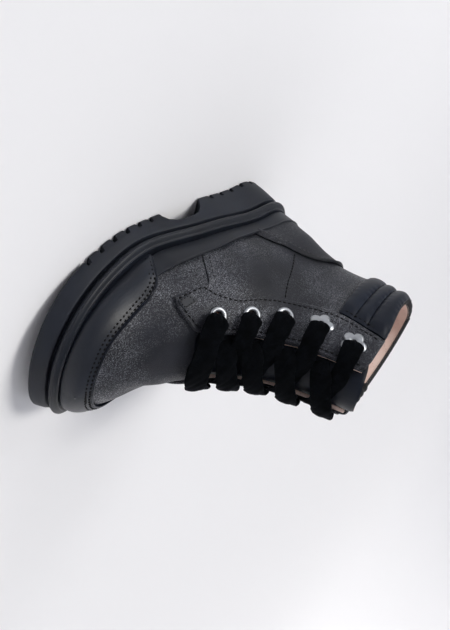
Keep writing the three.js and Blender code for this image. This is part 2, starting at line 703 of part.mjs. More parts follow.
// Zip on the inner side: tape, teeth, slider and pull.
const zipTop = 0.9;
function makeZipTape() {
  const start = zipRows[0].level;
  return facePiece({
    cols: 2,
    rows: 10,
    place: (across, share) => {
      const level = mix(start, rimLevel - 0.005, share);
      return [level, innerSide(zipTurn(level) + mix(-zipHalf, zipHalf, across))];
    },
    low: () => gap,
    high: () => gap + zipTapeLayer,
  });
}
function makeZipTeeth() {
  const start = zipRows[0].level + 0.01;
  return facePiece({
    cols: 2,
    rows: 16,
    place: (across, share) => {
      const level = mix(start, zipTop, share);
      return [level, innerSide(zipTurn(level) + mix(-zipTeethHalf, zipTeethHalf, across))];
    },
    low: () => 2 * gap + zipTapeLayer,
    high: () => 2 * gap + zipTapeLayer + zipTeethHeight,
  });
}
function makeZipSlider() {
  const base = 3 * gap + zipTapeLayer + zipTeethHeight;
  const frame = faceFrame(zipTop - 0.01, innerSide(zipTurn(zipTop - 0.01)), base);
  const body = wasm.Manifold.cube([sliderWidth, sliderLength, sliderHeight], true);
  const bridge = wasm.Manifold.cube([sliderWidth / 3, sliderLength * 0.6, pullLayer + 1], true);
  const pull = wasm.Manifold.cube([pullWidth, pullLength, pullLayer], true);
  return placed(
    body
      .translate([0, 0, sliderHeight / 2])
      .add(bridge.translate([0, 0, sliderHeight + 0.4]))
      .add(pull.translate([0, -pullLength / 2 - 1.7, sliderHeight + 0.9])),
    frame,
  );
}

const colours = {
  rubber: 0x2b2c30,
  glitter: 0x3a3b40,
  leather: 0x2f3138,
  velvet: 0x0c0d11,
  lining: 0xdcbfb2,
  metal: 0xb8bbbf,
  tape: 0x17181b,
};
const boot = new THREE.Group();
function addPiece(name, solid, colour, metalness = 0) {
  const mesh = largest(solid.simplify(flatness)).getMesh();
  const geometry = new THREE.BufferGeometry();
  geometry.setAttribute('position', new THREE.BufferAttribute(new Float32Array(mesh.vertProperties), 3));
  geometry.setIndex(new THREE.BufferAttribute(new Uint32Array(mesh.triVerts), 1));
  const roughness = metalness ? 0.3 : 0.65;
  const material = new THREE.MeshStandardMaterial({ color: colour, roughness, metalness });
  const piece = new THREE.Mesh(geometry, material);
  piece.name = name;
  boot.add(piece);
}

const holes = { outer: eyeletHoles(false), inner: eyeletHoles(true) };
const upper = [...holes.outer, ...holes.inner].reduce((solid, hole) => solid.subtract(hole), makeUpper());
addPiece('outsole', makeOutsole(), colours.rubber);
addPiece('midsole', makeMidsole(), colours.rubber);
addPiece('insole', makeInsole(), colours.lining);
addPiece('upper', upper, colours.glitter);
addPiece('tongue', makeTongue(), colours.leather);
addPiece('rand', makeRand(), colours.rubber);
addPiece('toe_cap', makeToeCap(), colours.leather);
addPiece('heel_counter', makeCounter(), colours.glitter);
addPiece('eyestay_outer', makeEyestay(false, holes.outer), colours.glitter);
addPiece('eyestay_inner', makeEyestay(true, holes.inner), colours.glitter);
addPiece('collar', makeCollar(), colours.leather);
addPiece('zip_tape', makeZipTape(), colours.tape);
addPiece('zip_teeth', makeZipTeeth(), colours.tape);
addPiece('zip_slider', makeZipSlider(), colours.metal, 0.9);
eyeletRows.forEach((row, index) => {
  const kind = row.flower ? 'flower' : 'ring';
  addPiece(`${kind}_outer_${index + 1}`, makeEyelet(row, false), colours.metal, 0.9);
  addPiece(`${kind}_inner_${index + 1}`, makeEyelet(row, true), colours.metal, 0.9);
});
addPiece('lace_bar_1', makeLaceBar(), colours.velvet);
for (let index = 1; index < eyeletRows.length; index += 1) {
  addPiece(`lace_cross_${index + 1}`, makeLaceCross(index), colours.velvet);
}

boot.position.x = -channelAt(channelGroups[0], 1.5);

export default boot;
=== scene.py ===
# Dresses a child's biker boot for the right foot. X points to the toe, Y to the inner side of the foot and
# Z up. Lengths are in millimetres, measured from the very back of the heel, or in shares, such as level and
# turn. Blender works in metres from the middle of the heel's tread.
import math

import bpy
import numpy as np
from mathutils import Matrix, Vector


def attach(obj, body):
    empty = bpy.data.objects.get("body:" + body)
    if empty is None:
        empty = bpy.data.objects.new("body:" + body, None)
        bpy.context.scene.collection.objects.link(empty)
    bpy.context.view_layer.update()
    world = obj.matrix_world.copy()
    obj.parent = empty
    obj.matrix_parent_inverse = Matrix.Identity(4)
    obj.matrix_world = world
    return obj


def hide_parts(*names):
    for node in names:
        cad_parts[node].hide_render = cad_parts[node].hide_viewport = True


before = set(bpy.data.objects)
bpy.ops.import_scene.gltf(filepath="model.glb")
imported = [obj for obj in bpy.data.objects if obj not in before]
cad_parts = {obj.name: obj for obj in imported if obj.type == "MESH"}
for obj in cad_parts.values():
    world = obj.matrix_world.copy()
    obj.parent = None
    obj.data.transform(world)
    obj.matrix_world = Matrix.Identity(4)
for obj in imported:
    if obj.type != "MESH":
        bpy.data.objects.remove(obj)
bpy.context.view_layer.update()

bl_info = {
    "name": "Biker boot",
    "version": (1, 0, 0),
    "blender": (4, 5, 0),
    "location": "3D View > Sidebar > Boot",
    "description": "Leather, rubber, laces, stitches and light of a child's biker boot",
    "category": "Add Mesh",
}

MM = 0.001
SOLE_LENGTH = 212.0
BALL_WIDTH = 92.0
HEEL_WIDTH = 72.0
TOE_SWING = 5.4
HEEL_DEPTH = 36.0
TOE_DEPTH = 47.0
TOE_FULLNESS = 2.3
HEEL_STACK = 20.2
FOREFOOT_STACK = 8.2
TOE_SPRING = 8.4
SIDE_DRAFT = 2.7
WELT_HEIGHT = 7.4
WELT_MARGIN = 8.4
GROOVE_DEPTH = 3.4
RIB_MARGIN = 2.6
TREAD_DEPTH = 3.0
TREAD_WIDTH = 2.4
NOTCH_WIDTH = 3.4
NOTCH_REACH = 4.5
BOOT_HEIGHT = 140.0
UPPER_WALL = 2.4
GAP = 0.3
FOOT_CROWN = 1.58
ORIGIN_X = 38.556875
RIM_DIP = 3.9


def mix(a, b, t):
    return a + (b - a) * t


def smooth(low, high, t):
    u = np.clip((t - low) / (high - low), 0, 1)
    return u * u * (3 - 2 * u)


def bump(centre, half, t):
    """A soft ridge of height 1 round centre that ends half a width away."""
    return 1 - smooth(0, half, np.abs(t - centre))


def curve(pairs):
    """A curve without overshoot through pairs of numbers."""
    x, y = np.array(pairs, float).T
    rise = np.diff(y) / np.diff(x)
    slope = np.empty_like(y)
    slope[0], slope[-1] = rise[0], rise[-1]
    product = rise[:-1] * rise[1:]
    total = np.where(product > 0, rise[:-1] + rise[1:], 1)
    slope[1:-1] = np.where(product > 0, 2 * product / total, 0)

    def at(value):
        t = np.clip(value, x[0], x[-1])
        i = np.clip(np.searchsorted(x, t, side="right") - 1, 0, len(x) - 2)
        h = x[i + 1] - x[i]
        u = (t - x[i]) / h
        start = (1 + 2 * u) * (1 - u) ** 2 * y[i] + u * (1 - u) ** 2 * h * slope[i]
        end = u * u * (3 - 2 * u) * y[i + 1] + u * u * (u - 1) * h * slope[i + 1]
        return start + end

    return at


def curve_at(stations, values):
    return curve(list(zip(stations, values)))


# Outline of the sole: the toe's swing, the half widths and the heights, each at shares of its length.
WIDTH_AT = (0, 0.16, 0.38, 0.55, 0.68, 0.82, 1)
HEIGHT_AT = (0, 0.22, 0.45, 0.63, 0.76, 0.88, 1)
swing_share = curve_at(WIDTH_AT, (0, 0, 0.05, 0.25, 0.45, 0.75, 1))
heel_share = curve_at(WIDTH_AT, (1, 1, 0.55, 0.12, 0, 0, 0))
outer_share = curve_at(WIDTH_AT, (0, 0, 0.54, 1.01, 1.18, 1.08, 0.96))
inner_share = curve_at(WIDTH_AT, (0, 0, 0.3, 0.66, 0.84, 0.87, 0.94))
stack_share = curve_at(HEIGHT_AT, (1, 0.89, 0.52, 0.06, 0, 0, 0))
lift_share = curve_at(HEIGHT_AT, (0, 0, 0, 0, 0.16, 0.59, 1.19))

# Sections of the upper: shares of the sole's length and the boot's height at the back line and front line.
SECTIONS = [
    (0.036, 0.197, 0.961, 0.183),
    (0.045, 0.271, 0.956, 0.222),
    (0.053, 0.321, 0.937, 0.245),
    (0.058, 0.371, 0.91, 0.268),
    (0.065, 0.421, 0.855, 0.308),
    (0.069, 0.471, 0.781, 0.351),
    (0.069, 0.529, 0.722, 0.41),
    (0.064, 0.586, 0.667, 0.482),
    (0.057, 0.65, 0.614, 0.566),
    (0.051, 0.714, 0.569, 0.659),
    (0.05, 0.779, 0.533, 0.764),
    (0.05, 0.843, 0.507, 0.869),
    (0.05, 0.915, 0.486, 0.969),
    (0.05, 0.955, 0.475, 1.009),
]
LEVELS = [i / (len(SECTIONS) - 1) for i in range(len(SECTIONS))]
RIM = LEVELS[-2]
back_x, back_z, front_x, front_z = (curve_at(LEVELS, column) for column in zip(*SECTIONS))
back_at_height = curve([(s[1], s[0]) for s in SECTIONS])
front_at_height = curve([(s[3], s[2]) for s in SECTIONS])
crest_at_length = curve([(s[2], s[3]) for s in reversed(SECTIONS)])
shaft_half = curve([(0.3, 0.42), (0.5, 0.354), (0.62, 0.355), (0.78, 0.385), (1.02, 0.378)])

# Edges of the pieces on the outer side, as turns and levels of the upper's face.
EYESTAY_AT = (0.27, 0.338, 0.4, 0.462, 0.523, 0.569, 0.631, 0.72, 0.81, 0.94)
eyestay_rear = curve_at(EYESTAY_AT, (0.615, 0.625, 0.648, 0.645, 0.605, 0.58, 0.572, 0.58, 0.595, 0.625))
eyestay_front = curve_at(EYESTAY_AT, (0.668, 0.72, 0.775, 0.815, 0.803, 0.79, 0.782, 0.788, 0.8, 0.8))
EYESTAY_FOOT = 0.315
EYESTAY_POINT = 0.278
THROAT = 0.452
rand_top = curve(
    [(0, 0.098), (0.14, 0.09), (0.245, 0.078), (0.325, 0.074), (0.4, 0.085), (0.46, 0.105), (0.52, 0.125),
     (0.56, 0.134), (0.63, 0.125)]
)
CAP_START = 0.606
cap_top = curve(
    [(0.606, 0.012), (0.615, 0.04), (0.63, 0.092), (0.645, 0.146), (0.67, 0.185), (0.7, 0.202), (0.76, 0.2),
     (0.82, 0.194), (0.89, 0.206), (1, 0.218)]
)
COUNTER_TOP = 0.515
counter_half = curve(
    [(0.07, 0.34), (0.2, 0.325), (0.27, 0.312), (0.36, 0.308), (0.438, 0.29), (0.475, 0.255), (0.5, 0.2),
     (0.515, 0.12)]
)
collar_low = curve([(0, 0.69), (0.3, 0.7), (0.485, 0.731), (0.6, 0.754)])
collar_first = curve([(0, 0.765), (0.3, 0.775), (0.485, 0.79), (0.6, 0.802)])
collar_second = curve([(0, 0.825), (0.3, 0.83), (0.485, 0.84), (0.6, 0.854)])
zip_turn = curve([(0.16, 0.444), (0.3, 0.45), (0.5, 0.482), (0.72, 0.525), (0.93, 0.55)])
ZIP_HALF = 0.042
ZIP_TOP = 0.9
vamp_seam = curve(
    [(0, 0.478), (0.156, 0.528), (0.198, 0.54), (0.234, 0.553), (0.264, 0.567), (0.292, 0.584), (0.316, 0.6),
     (0.342, 0.625), (0.4, 0.7), (0.46, 0.775), (0.5, 0.79)]
)
tongue_half = curve([(0.375, 0.19), (0.5, 0.27), (0.7, 0.29), (1, 0.25)])
EYELETS = [(0.469, 0.74), (0.546, 0.7), (0.623, 0.66), (0.738, 0.668), (0.854, 0.7)]
# How far up the boot each lace bows, and where it dives under the far eyestay.
LACE_RISE = [0.048, 0.054, 0.057, 0.04, 0.036]
LACE_DIVE = [1, 0.95, 0.78, 0.69, 0.54]
FIRST_FLOWER = 3


def centre_line(x):
    return TOE_SWING * swing_share(x / SOLE_LENGTH)


def half_width(x, inner):
    along = x / SOLE_LENGTH
    ball = np.where(inner, inner_share(along), outer_share(along))
    return (heel_share(along) * HEEL_WIDTH + ball * BALL_WIDTH) / 2


def round_end(u, power):
    return (1 - (1 - np.clip(u, 0, 1)) ** power) ** (1 / power)


def ground_line(x):
    return TOE_SPRING * np.clip((x / SOLE_LENGTH - 0.7) / 0.3, 0, 1) ** 2


def sole_top(x):
    along = x / SOLE_LENGTH
    return mix(FOREFOOT_STACK, HEEL_STACK, stack_share(along)) + TOE_SPRING * lift_share(along)


def feather_line(x):
    return sole_top(x) + WELT_HEIGHT


def upper_half(x, z, inner):
    back = back_at_height(z / BOOT_HEIGHT) * SOLE_LENGTH
    heel_end = round_end((x - back) / (HEEL_DEPTH - WELT_MARGIN), 2.1)
    toe_end = round_end((SECTIONS[0][2] * SOLE_LENGTH - x) / (TOE_DEPTH - WELT_MARGIN), TOE_FULLNESS)
    base = feather_line(x)
    crest = crest_at_length(x / SOLE_LENGTH) * BOOT_HEIGHT
    tall = crest > base + 1e-6
    rise = np.where(tall, np.clip((z - base) / np.where(tall, crest - base, 1), 0, 1), 0)
    tuck = 1 - 0.05 * (1 - np.clip(rise / 0.25, 0, 1)) ** 2
    foot = (half_width(x, inner) - WELT_MARGIN) * heel_end * toe_end * tuck * np.sqrt(1 - rise**FOOT_CROWN)
    front = front_at_height(z / BOOT_HEIGHT) * SOLE_LENGTH
    across = np.clip((x - back) / (front - back), 0, 1) * 2 - 1
    shaft = shaft_half(z / BOOT_HEIGHT) * HEEL_WIDTH * (1 - np.abs(across) ** 2.2) ** (1 / 2.2)
    return mix(foot, shaft, smooth(0.36, 0.66, z / BOOT_HEIGHT))


def face_point(level, turn):
    """Points of the upper's outer face. Turn runs from the back along the outer side to the front at 1."""
    level, turn = np.broadcast_arrays(np.asarray(level, float), np.asarray(turn, float))
    around = np.mod(turn, 2)
    inner = around > 1
    u = np.where(inner, 2 - around, around)
    s = (1 - np.cos(np.pi * u)) / 2
    x0, x1 = back_x(level) * SOLE_LENGTH, front_x(level) * SOLE_LENGTH
    z0, z1 = back_z(level) * BOOT_HEIGHT, front_z(level) * BOOT_HEIGHT
    x = mix(x0, x1, s)
    sag = feather_line(x) - mix(feather_line(x0), feather_line(x1), s)
    z = mix(z0, z1, s) + sag * (1 - level) ** 1.5 + np.minimum(level, 0) * BOOT_HEIGHT
    half = np.where((u <= 0) | (u >= 1), 0, upper_half(x, z, inner))
    middle = centre_line(x) * (1 - smooth(0.4, 0.8, z / BOOT_HEIGHT))
    dip = RIM_DIP * smooth(0.84, 0.92, level) * smooth(0, 0.22, u) * (1 - smooth(0.36, 0.62, u))
    return np.stack([x, middle + np.where(inner, half, -half), z - np.where(inner, 0, dip)], -1)


def nearest(share):
    """How far a share is from the nearer end."""
    return np.minimum(share, 1 - share)


def unit(vectors):
    return vectors / np.maximum(np.linalg.norm(vectors, axis=-1, keepdims=True), 1e-9)


def face_normal(level, turn):
    step = 0.012
    low = np.maximum(0, level - step)
    high = np.minimum(1, low + 2 * step)
    around = face_point(level, turn + step) - face_point(level, turn - step)
    normal = unit(np.cross(around, face_point(high, turn) - face_point(low, turn)))
    normal[..., 2] *= smooth(0, 0.06, level)
    return unit(normal)


CHORD = 0.012


def face_offset(level, turn, out):
    """A point some mm above the face. The crest, where the two sides meet, is bridged by a short chord."""
    level, turn, out = np.broadcast_arrays(*(np.asarray(value, float) for value in (level, turn, out)))

    def raised(t):
        return face_point(level, t) + face_normal(level, t) * out[..., None]

    share = np.clip((turn - 1 + CHORD) / (2 * CHORD), 0, 1)[..., None]
    bridge = mix(raised(np.full_like(turn, 1 - CHORD)), raised(np.full_like(turn, 1 + CHORD)), share)
    return np.where(np.abs(turn - 1)[..., None] < CHORD, bridge, raised(turn))


# Depth in mm, level, its slope and the turn it is measured from, half height, turn, half width.
CREASES = [
    (-0.9, 0.33, -0.12, 0.8, 0.05, 0.84, 0.2),
    (0.5, 0.4, -0.1, 0.8, 0.04, 0.86, 0.16),
    (-0.9, 0.56, 0.25, 0.4, 0.06, 0.43, 0.2),
    (0.7, 0.47, 0.2, 0.4, 0.07, 0.45, 0.22),
    (-0.6, 0.66, 0.15, 0.3, 0.035, 0.34, 0.2),
    (-0.5, 0.3, 0.0, 0.0, 0.05, 0.42, 0.1),
]


def creases(level, turn):
    """Soft walking creases over the ball and the ankle, in millimetres."""
    u = np.mod(turn, 2)
    u = np.where(u > 1, 2 - u, u)
    return sum(
        depth * bump(at + slope * (u - start), tall, level) * bump(centre, wide, u)
        for depth, at, slope, start, tall, centre, wide in CREASES
    )


def hex_colour(text):
    """Linear RGBA of an sRGB hex value."""
    parts = [int(text[i:i + 2], 16) / 255 for i in (1, 3, 5)]
    return [c / 12.92 if c <= 0.04045 else ((c + 0.055) / 1.055) ** 2.4 for c in parts] + [1.0]


def set_input(tree, socket, value):
    """Gives an input its value, or links it where the value is an output socket."""
    if isinstance(value, bpy.types.NodeSocket):
        tree.links.new(value, socket)
    else:
        socket.default_value = value


def add_node(tree, kind, inputs=None, **settings):
    """Adds a shader node with its settings. An input is a value, or an output socket to link."""
    node = tree.nodes.new("ShaderNode" + kind)
    for key, value in settings.items():
        setattr(node, key, value)
    for key, value in (inputs or {}).items():
        set_input(tree, node.inputs[key], value)
    return node


def new_material(name):
    made = bpy.data.materials.new(name)
    made.use_nodes = True
    tree = made.node_tree
    return made, tree, add_node(tree, "TexCoord").outputs["Object"]


def finish(made, inputs, height, distance, strength=1.0):
    """Sets or links the shader's inputs, and gives the surface a relief that is distance metres deep."""
    tree = made.node_tree
    shader = next(n for n in tree.nodes if n.type == "BSDF_PRINCIPLED")
    relief = add_node(tree, "Bump", {"Height": height, "Distance": distance, "Strength": strength})
    for key, value in {**inputs, "Normal": relief.outputs["Normal"]}.items():
        set_input(tree, shader.inputs[key], value)
    return made


def two_tone(tree, share, dark, light, low=0.3, high=0.7):
    ramp = add_node(tree, "ValToRGB", {"Fac": share})
    for element, position, colour in zip(ramp.color_ramp.elements, (low, high), (dark, light)):
        element.position = position
        element.color = hex_colour(colour)
    return ramp.outputs["Color"]


def ranged(tree, share, low, high):
    return add_node(tree, "MapRange", {"Value": share, "To Min": low, "To Max": high}).outputs["Result"]


def glitter_leather(colours):
    """Coated leather with fine glitter: a satin charcoal ground with flakes of about 0.3 mm in patches."""
    made, tree, place = new_material("Coated leather with glitter")
    cloud = add_node(tree, "TexNoise", {"Vector": place, "Scale": 38.0, "Detail": 3.0}).outputs["Fac"]
    ground = two_tone(tree, cloud, colours.glitter_dark, colours.glitter_light, 0.34, 0.68)
    flakes = add_node(tree, "TexVoronoi", {"Vector": place, "Scale": 1 / (0.3 * MM)}).outputs["Color"]
    pick = add_node(tree, "SeparateColor", {"Color": flakes}).outputs
    patchy = add_node(tree, "TexNoise", {"Vector": place, "Scale": 22.0, "Detail": 2.0}).outputs["Fac"]
    rate = add_node(tree, "Math", {0: pick["Red"], 1: patchy}, operation="MULTIPLY").outputs["Value"]
    flake = add_node(tree, "MapRange", {"Value": rate, "From Min": 0.35, "From Max": 0.62}).outputs["Result"]
    shine = add_node(tree, "MixRGB", {"Fac": flake, "Color1": ground, "Color2": hex_colour(colours.sparkle)})
    grain = add_node(tree, "TexVoronoi", {"Vector": place, "Scale": 1 / (1.1 * MM)}).outputs["Distance"]
    height = add_node(tree, "Math", {0: grain, 1: pick["Green"]}, operation="ADD").outputs["Value"]
    looks = {
        "Base Color": shine.outputs["Color"],
        "Roughness": ranged(tree, flake, 0.56, 0.3),
        "Metallic": ranged(tree, flake, 0.0, 0.3),
        "Specular IOR Level": 0.3,
    }
    return finish(made, looks, height, 0.00008, 0.6)


def smooth_leather(colours, name, specular):
    """Smooth leather with a grain of 0.8 mm cells. A higher specular gives it a stronger clear finish."""
    made, tree, place = new_material(name)
    cloud = add_node(tree, "TexNoise", {"Vector": place, "Scale": 30.0, "Detail": 4.0}).outputs["Fac"]
    grain = add_node(tree, "TexVoronoi", {"Vector": place, "Scale": 1 / (0.8 * MM)}).outputs["Distance"]
    wrinkle = add_node(tree, "TexNoise", {"Vector": place, "Scale": 260.0, "Detail": 3.0}).outputs["Fac"]
    height = add_node(tree, "Math", {0: grain, 1: wrinkle}, operation="ADD").outputs["Value"]
    looks = {
        "Base Color": two_tone(tree, cloud, colours.leather_dark, colours.leather_light),
        "Roughness": ranged(tree, cloud, 0.36, 0.5),
        "Specular IOR Level": specular,
        "Coat Weight": specular / 4.5,
        "Coat Roughness": 0.3,
    }
    return finish(made, looks, height, 0.00006, 0.5)


def rubber(name, dark, light, rough):
    """Moulded rubber or resin: dark, dull and faintly mottled, with a fine mould texture."""
    made, tree, place = new_material(name)
    cloud = add_node(tree, "TexNoise", {"Vector": place, "Scale": 55.0, "Detail": 5.0}).outputs["Fac"]
    fine = add_node(tree, "TexNoise", {"Vector": place, "Scale": 1 / (0.7 * MM), "Detail": 2.0})
    looks = {
        "Base Color": two_tone(tree, cloud, dark, light),
        "Roughness": ranged(tree, cloud, rough - 0.06, rough + 0.06),
        "Specular IOR Level": 0.32,
    }
    return finish(made, looks, fine.outputs["Fac"], 0.00005, 0.5)


def velvet(colours):
    """Cotton velvet ribbon: a deep black pile that turns grey where it is seen edge-on."""
    made, tree, place = new_material("Cotton velvet")
    pile = add_node(tree, "TexNoise", {"Vector": place, "Scale": 1 / (0.9 * MM), "Detail": 3.0}).outputs[0]
    nap = add_node(tree, "TexNoise", {"Vector": place, "Scale": 190.0, "Detail": 2.0}).outputs["Fac"]
    tone = add_node(tree, "Math", {0: pile, 1: nap}, operation="MULTIPLY").outputs["Value"]
    looks = {
        "Base Color": two_tone(tree, tone, colours.velvet_dark, colours.velvet_light, 0.16, 0.4),
        "Roughness": 0.95,
        "Specular IOR Level": 0.05,
        "Sheen Weight": 0.06,
        "Sheen Roughness": 0.35,
        "Sheen Tint": hex_colour("#8088a0"),
    }
    return finish(made, looks, pile, 0.0002, 0.8)


def lining_leather(colours):
    """Pigskin lining: warm beige, soft and matt, with pores a millimetre and a half apart."""
    made, tree, place = new_material("Pigskin lining")
    cloud = add_node(tree, "TexNoise", {"Vector": place, "Scale": 45.0, "Detail": 4.0}).outputs["Fac"]
    tone = two_tone(tree, cloud, colours.lining_dark, colours.lining_light)
    pores = add_node(tree, "TexVoronoi", {"Vector": place, "Scale": 1 / (1.5 * MM)}).outputs["Distance"]
    hole = add_node(tree, "MapRange", {"Value": pores, "From Min": 0.08, "From Max": 0.2}).outputs["Result"]
    skin = add_node(tree, "MixRGB", {"Fac": hole, "Color1": hex_colour("#a98678"), "Color2": tone})
    return finish(made, {"Base Color": skin.outputs["Color"], "Roughness": 0.82}, hole, 0.00008)


def nickel(colours):
    """Plated nickel eyelets: satin metal with small rubbed spots."""
    made, tree, place = new_material("Satin nickel")
    wear = add_node(tree, "TexNoise", {"Vector": place, "Scale": 300.0, "Detail": 3.0}).outputs["Fac"]
    looks = {
        "Base Color": two_tone(tree, wear, "#9a9da0", colours.metal, 0.3, 0.6),
        "Roughness": ranged(tree, wear, 0.3, 0.45),
        "Metallic": 1.0,
    }
    return finish(made, looks, wear, 0.00001)


def woven(name, dark, light, pitch):
    """Woven polyester: fine crossing threads that dull the light."""
    made, tree, place = new_material(name)
    wave = {"Vector": place, "Scale": 1 / (2 * pitch)}
    threads, cross = (add_node(tree, "TexWave", wave, bands_direction=way).outputs["Fac"] for way in "ZX")
    weave = add_node(tree, "Math", {0: threads, 1: cross}, operation="MULTIPLY").outputs["Value"]
    looks = {"Base Color": two_tone(tree, weave, dark, light, 0.1, 0.8), "Roughness": 0.85}
    return finish(made, looks, weave, 0.00015)


def sewing_thread():
    """Waxed polyester thread: black with a slight shine and a visible twist."""
    made, tree, place = new_material("Waxed thread")
    wave = {"Vector": place, "Scale": 1 / (0.7 * MM)}
    twist = add_node(tree, "TexWave", wave, bands_direction="DIAGONAL").outputs["Fac"]
    looks = {
        "Base Color": two_tone(tree, twist, "#020203", "#0a0b0e"),
        "Roughness": 0.6,
        "Specular IOR Level": 0.15,
    }
    return finish(made, looks, twist, 0.00008)


def paper_floor(colour):
    """Studio paper: plain, pale and matt."""
    made, tree, place = new_material("Studio paper")
    fibre = add_node(tree, "TexNoise", {"Vector": place, "Scale": 900.0}).outputs["Fac"]
    looks = {"Base Color": hex_colour(colour), "Roughness": 0.95, "Specular IOR Level": 0.1}
    return finish(made, looks, fibre, 0.00002, 0.2)


materials = {}


def stock():
    """The boot's materials, made on first use."""
    if not materials:
        colours = bpy.context.scene.boot_colours
        materials.update(
            glitter=glitter_leather(colours),
            leather=smooth_leather(colours, "Finished calf leather", 0.36),
            soft_leather=smooth_leather(colours, "Matt nappa leather", 0.14),
            outsole=rubber("Moulded sole rubber", colours.rubber_dark, colours.rubber_light, 0.6),
            rand=rubber("Moulded rand rubber", colours.rand_dark, colours.rand_light, 0.48),
            velvet=velvet(colours),
            lining=lining_leather(colours),
            metal=nickel(colours),
            tape=woven("Woven zip tape", "#0a0a0c", "#1d1e22", 0.0007),
            binding=woven("Knitted binding", "#0c0c0f", "#2c2d32", 0.0012),
            teeth=rubber("Moulded zip resin", "#0e0e11", "#1c1d21", 0.42),
            thread=sewing_thread(),
        )
    return materials


def deselect():
    if bpy.context.object and bpy.context.object.mode != "OBJECT":
        bpy.ops.object.mode_set(mode="OBJECT")
    bpy.ops.object.select_all(action="DESELECT")


def only(piece):
    deselect()
    piece.select_set(True)
    bpy.context.view_layer.objects.active = piece


def named(name):
    piece = bpy.context.object
    piece.name = name
    piece.data.name = name
    return piece


def points_of(piece):
    flat = np.empty(len(piece.data.vertices) * 3)
    piece.data.vertices.foreach_get("co", flat)
    return flat.reshape(-1, 3)


def set_points(piece, points):
    piece.data.vertices.foreach_set("co", np.asarray(points, float).ravel())
    piece.data.update()


def grid(name, cols, rows):
    """A flat grid of one by one, with the shares across and up of its points."""
    deselect()
    bpy.ops.mesh.primitive_grid_add(x_subdivisions=cols, y_subdivisions=rows, size=1)
    piece = named(name)
    shares = points_of(piece)[:, :2] + 0.5
    return piece, shares[:, 0], shares[:, 1]


def apply_modifier(piece, kind, **settings):
    only(piece)
    modifier = piece.modifiers.new(kind, kind)
    for key, value in settings.items():
        setattr(modifier, key, value)
    bpy.ops.object.modifier_apply(modifier=modifier.name)


def edit(piece, *steps):
    """Runs operators on the whole of a piece's mesh, each given with its settings."""
    only(piece)
    bpy.ops.object.mode_set(mode="EDIT")
    bpy.ops.mesh.select_all(action="SELECT")
    for operator, settings in steps:
        operator(**settings)
    bpy.ops.object.mode_set(mode="OBJECT")


DOUBLES = (bpy.ops.mesh.remove_doubles, {"threshold": 0.00001})
OUTWARD = (bpy.ops.mesh.normals_make_consistent, {"inside": False})


def fill(piece, points, faces):
    """Gives a piece a new mesh."""
    mesh = bpy.data.meshes.new(piece.name)
    mesh.from_pydata(points, [], faces)
    piece.data = mesh
    return piece


def settle(piece, slots, replaced=(), angle=60):
    """Gives a finished piece its materials, its place on the boot and its smooth shading."""
    for index, key in enumerate(slots):
        if index < len(piece.data.materials):
            piece.data.materials[index] = stock()[key]
        else:
            piece.data.materials.append(stock()[key])
    piece.data.transform(Matrix.Translation((-ORIGIN_X * MM, 0, 0)))
    only(piece)
    bpy.ops.object.transform_apply(location=True, rotation=True, scale=True)
    bpy.ops.object.shade_smooth_by_angle(angle=math.radians(angle))
    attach(piece, "root")
    if replaced:
        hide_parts(*replaced)


def face_sheet(name, cols, rows, place, out):
    """A sheet on the boot's face. Place gives level and turn, and out the height above the face in mm."""
    piece, across, share = grid(name, cols, rows)
    level, turn = place(across, share)
    set_points(piece, face_offset(level, turn, out(across, share, level, turn)) * MM)
    return piece


def thicken(piece, wall, inside=0, rim=0, edge=0.0):
    """Gives a sheet its wall on the inner side, and rounds its edges by edge in millimetres."""
    while len(piece.data.materials) <= max(inside, rim):
        piece.data.materials.append(None)
    apply_modifier(piece, "SOLIDIFY", thickness=wall * MM, offset=-1, use_even_offset=False,
                   material_offset=inside, material_offset_rim=rim)
    if edge:
        apply_modifier(piece, "BEVEL", width=edge * MM, segments=3, limit_method="ANGLE",
                       angle_limit=math.radians(50), harden_normals=False)


def edge_fall(across, share, left, bottom, depth):
    """How far a sewn piece falls towards its edges, in mm."""
    near = np.minimum(nearest(across) / left, nearest(share) / bottom)
    return -depth * (1 - np.clip(near, 0, 1)) ** 2


LOOP = 168


def sole_loop(inset, height_at):
    """The sole's outline, drawn in by inset, with LOOP points at the given heights."""
    u = np.arange(LOOP) / LOOP * 2
    inner = u > 1
    u = np.where(inner, 2 - u, u)
    x = mix(inset, SOLE_LENGTH - inset, (1 - np.cos(np.pi * u)) / 2)
    heel_end = round_end((x - inset) / (HEEL_DEPTH - inset), 2.1)
    toe_end = round_end((SOLE_LENGTH - inset - x) / (TOE_DEPTH - inset), TOE_FULLNESS)
    half = (half_width(x, inner) - inset) * heel_end * toe_end
    return np.stack([x, centre_line(x) + np.where(inner, half, -half), height_at(x)], -1)


def sole_body(name, loops):
    """A closed body through loops of the sole's outline, from the bottom up."""
    deselect()
    bpy.ops.mesh.primitive_cylinder_add(vertices=LOOP, radius=1, depth=1, end_fill_type="NOTHING")
    piece = named(name)
    rows = [[tuple(p) for p in np.asarray(loop) * MM] for loop in loops]
    faces = []
    for j in range(len(rows) - 1):
        for i in range(LOOP):
            a, b = j * LOOP + i, j * LOOP + (i + 1) % LOOP
            faces.append((a, b, b + LOOP, a + LOOP))
    top = (len(rows) - 1) * LOOP
    for i in range(LOOP // 2):
        corners = [i, i + 1, (LOOP - i - 1) % LOOP, (LOOP - i) % LOOP]
        ring = list(dict.fromkeys(corners))
        if len(ring) > 2:
            faces.append(tuple(reversed(ring)))
            faces.append(tuple(top + c for c in ring))
    fill(piece, [p for row in rows for p in row], faces)
    edit(piece, DOUBLES, OUTWARD)
    return piece


BLOCK_REACH = 70.0


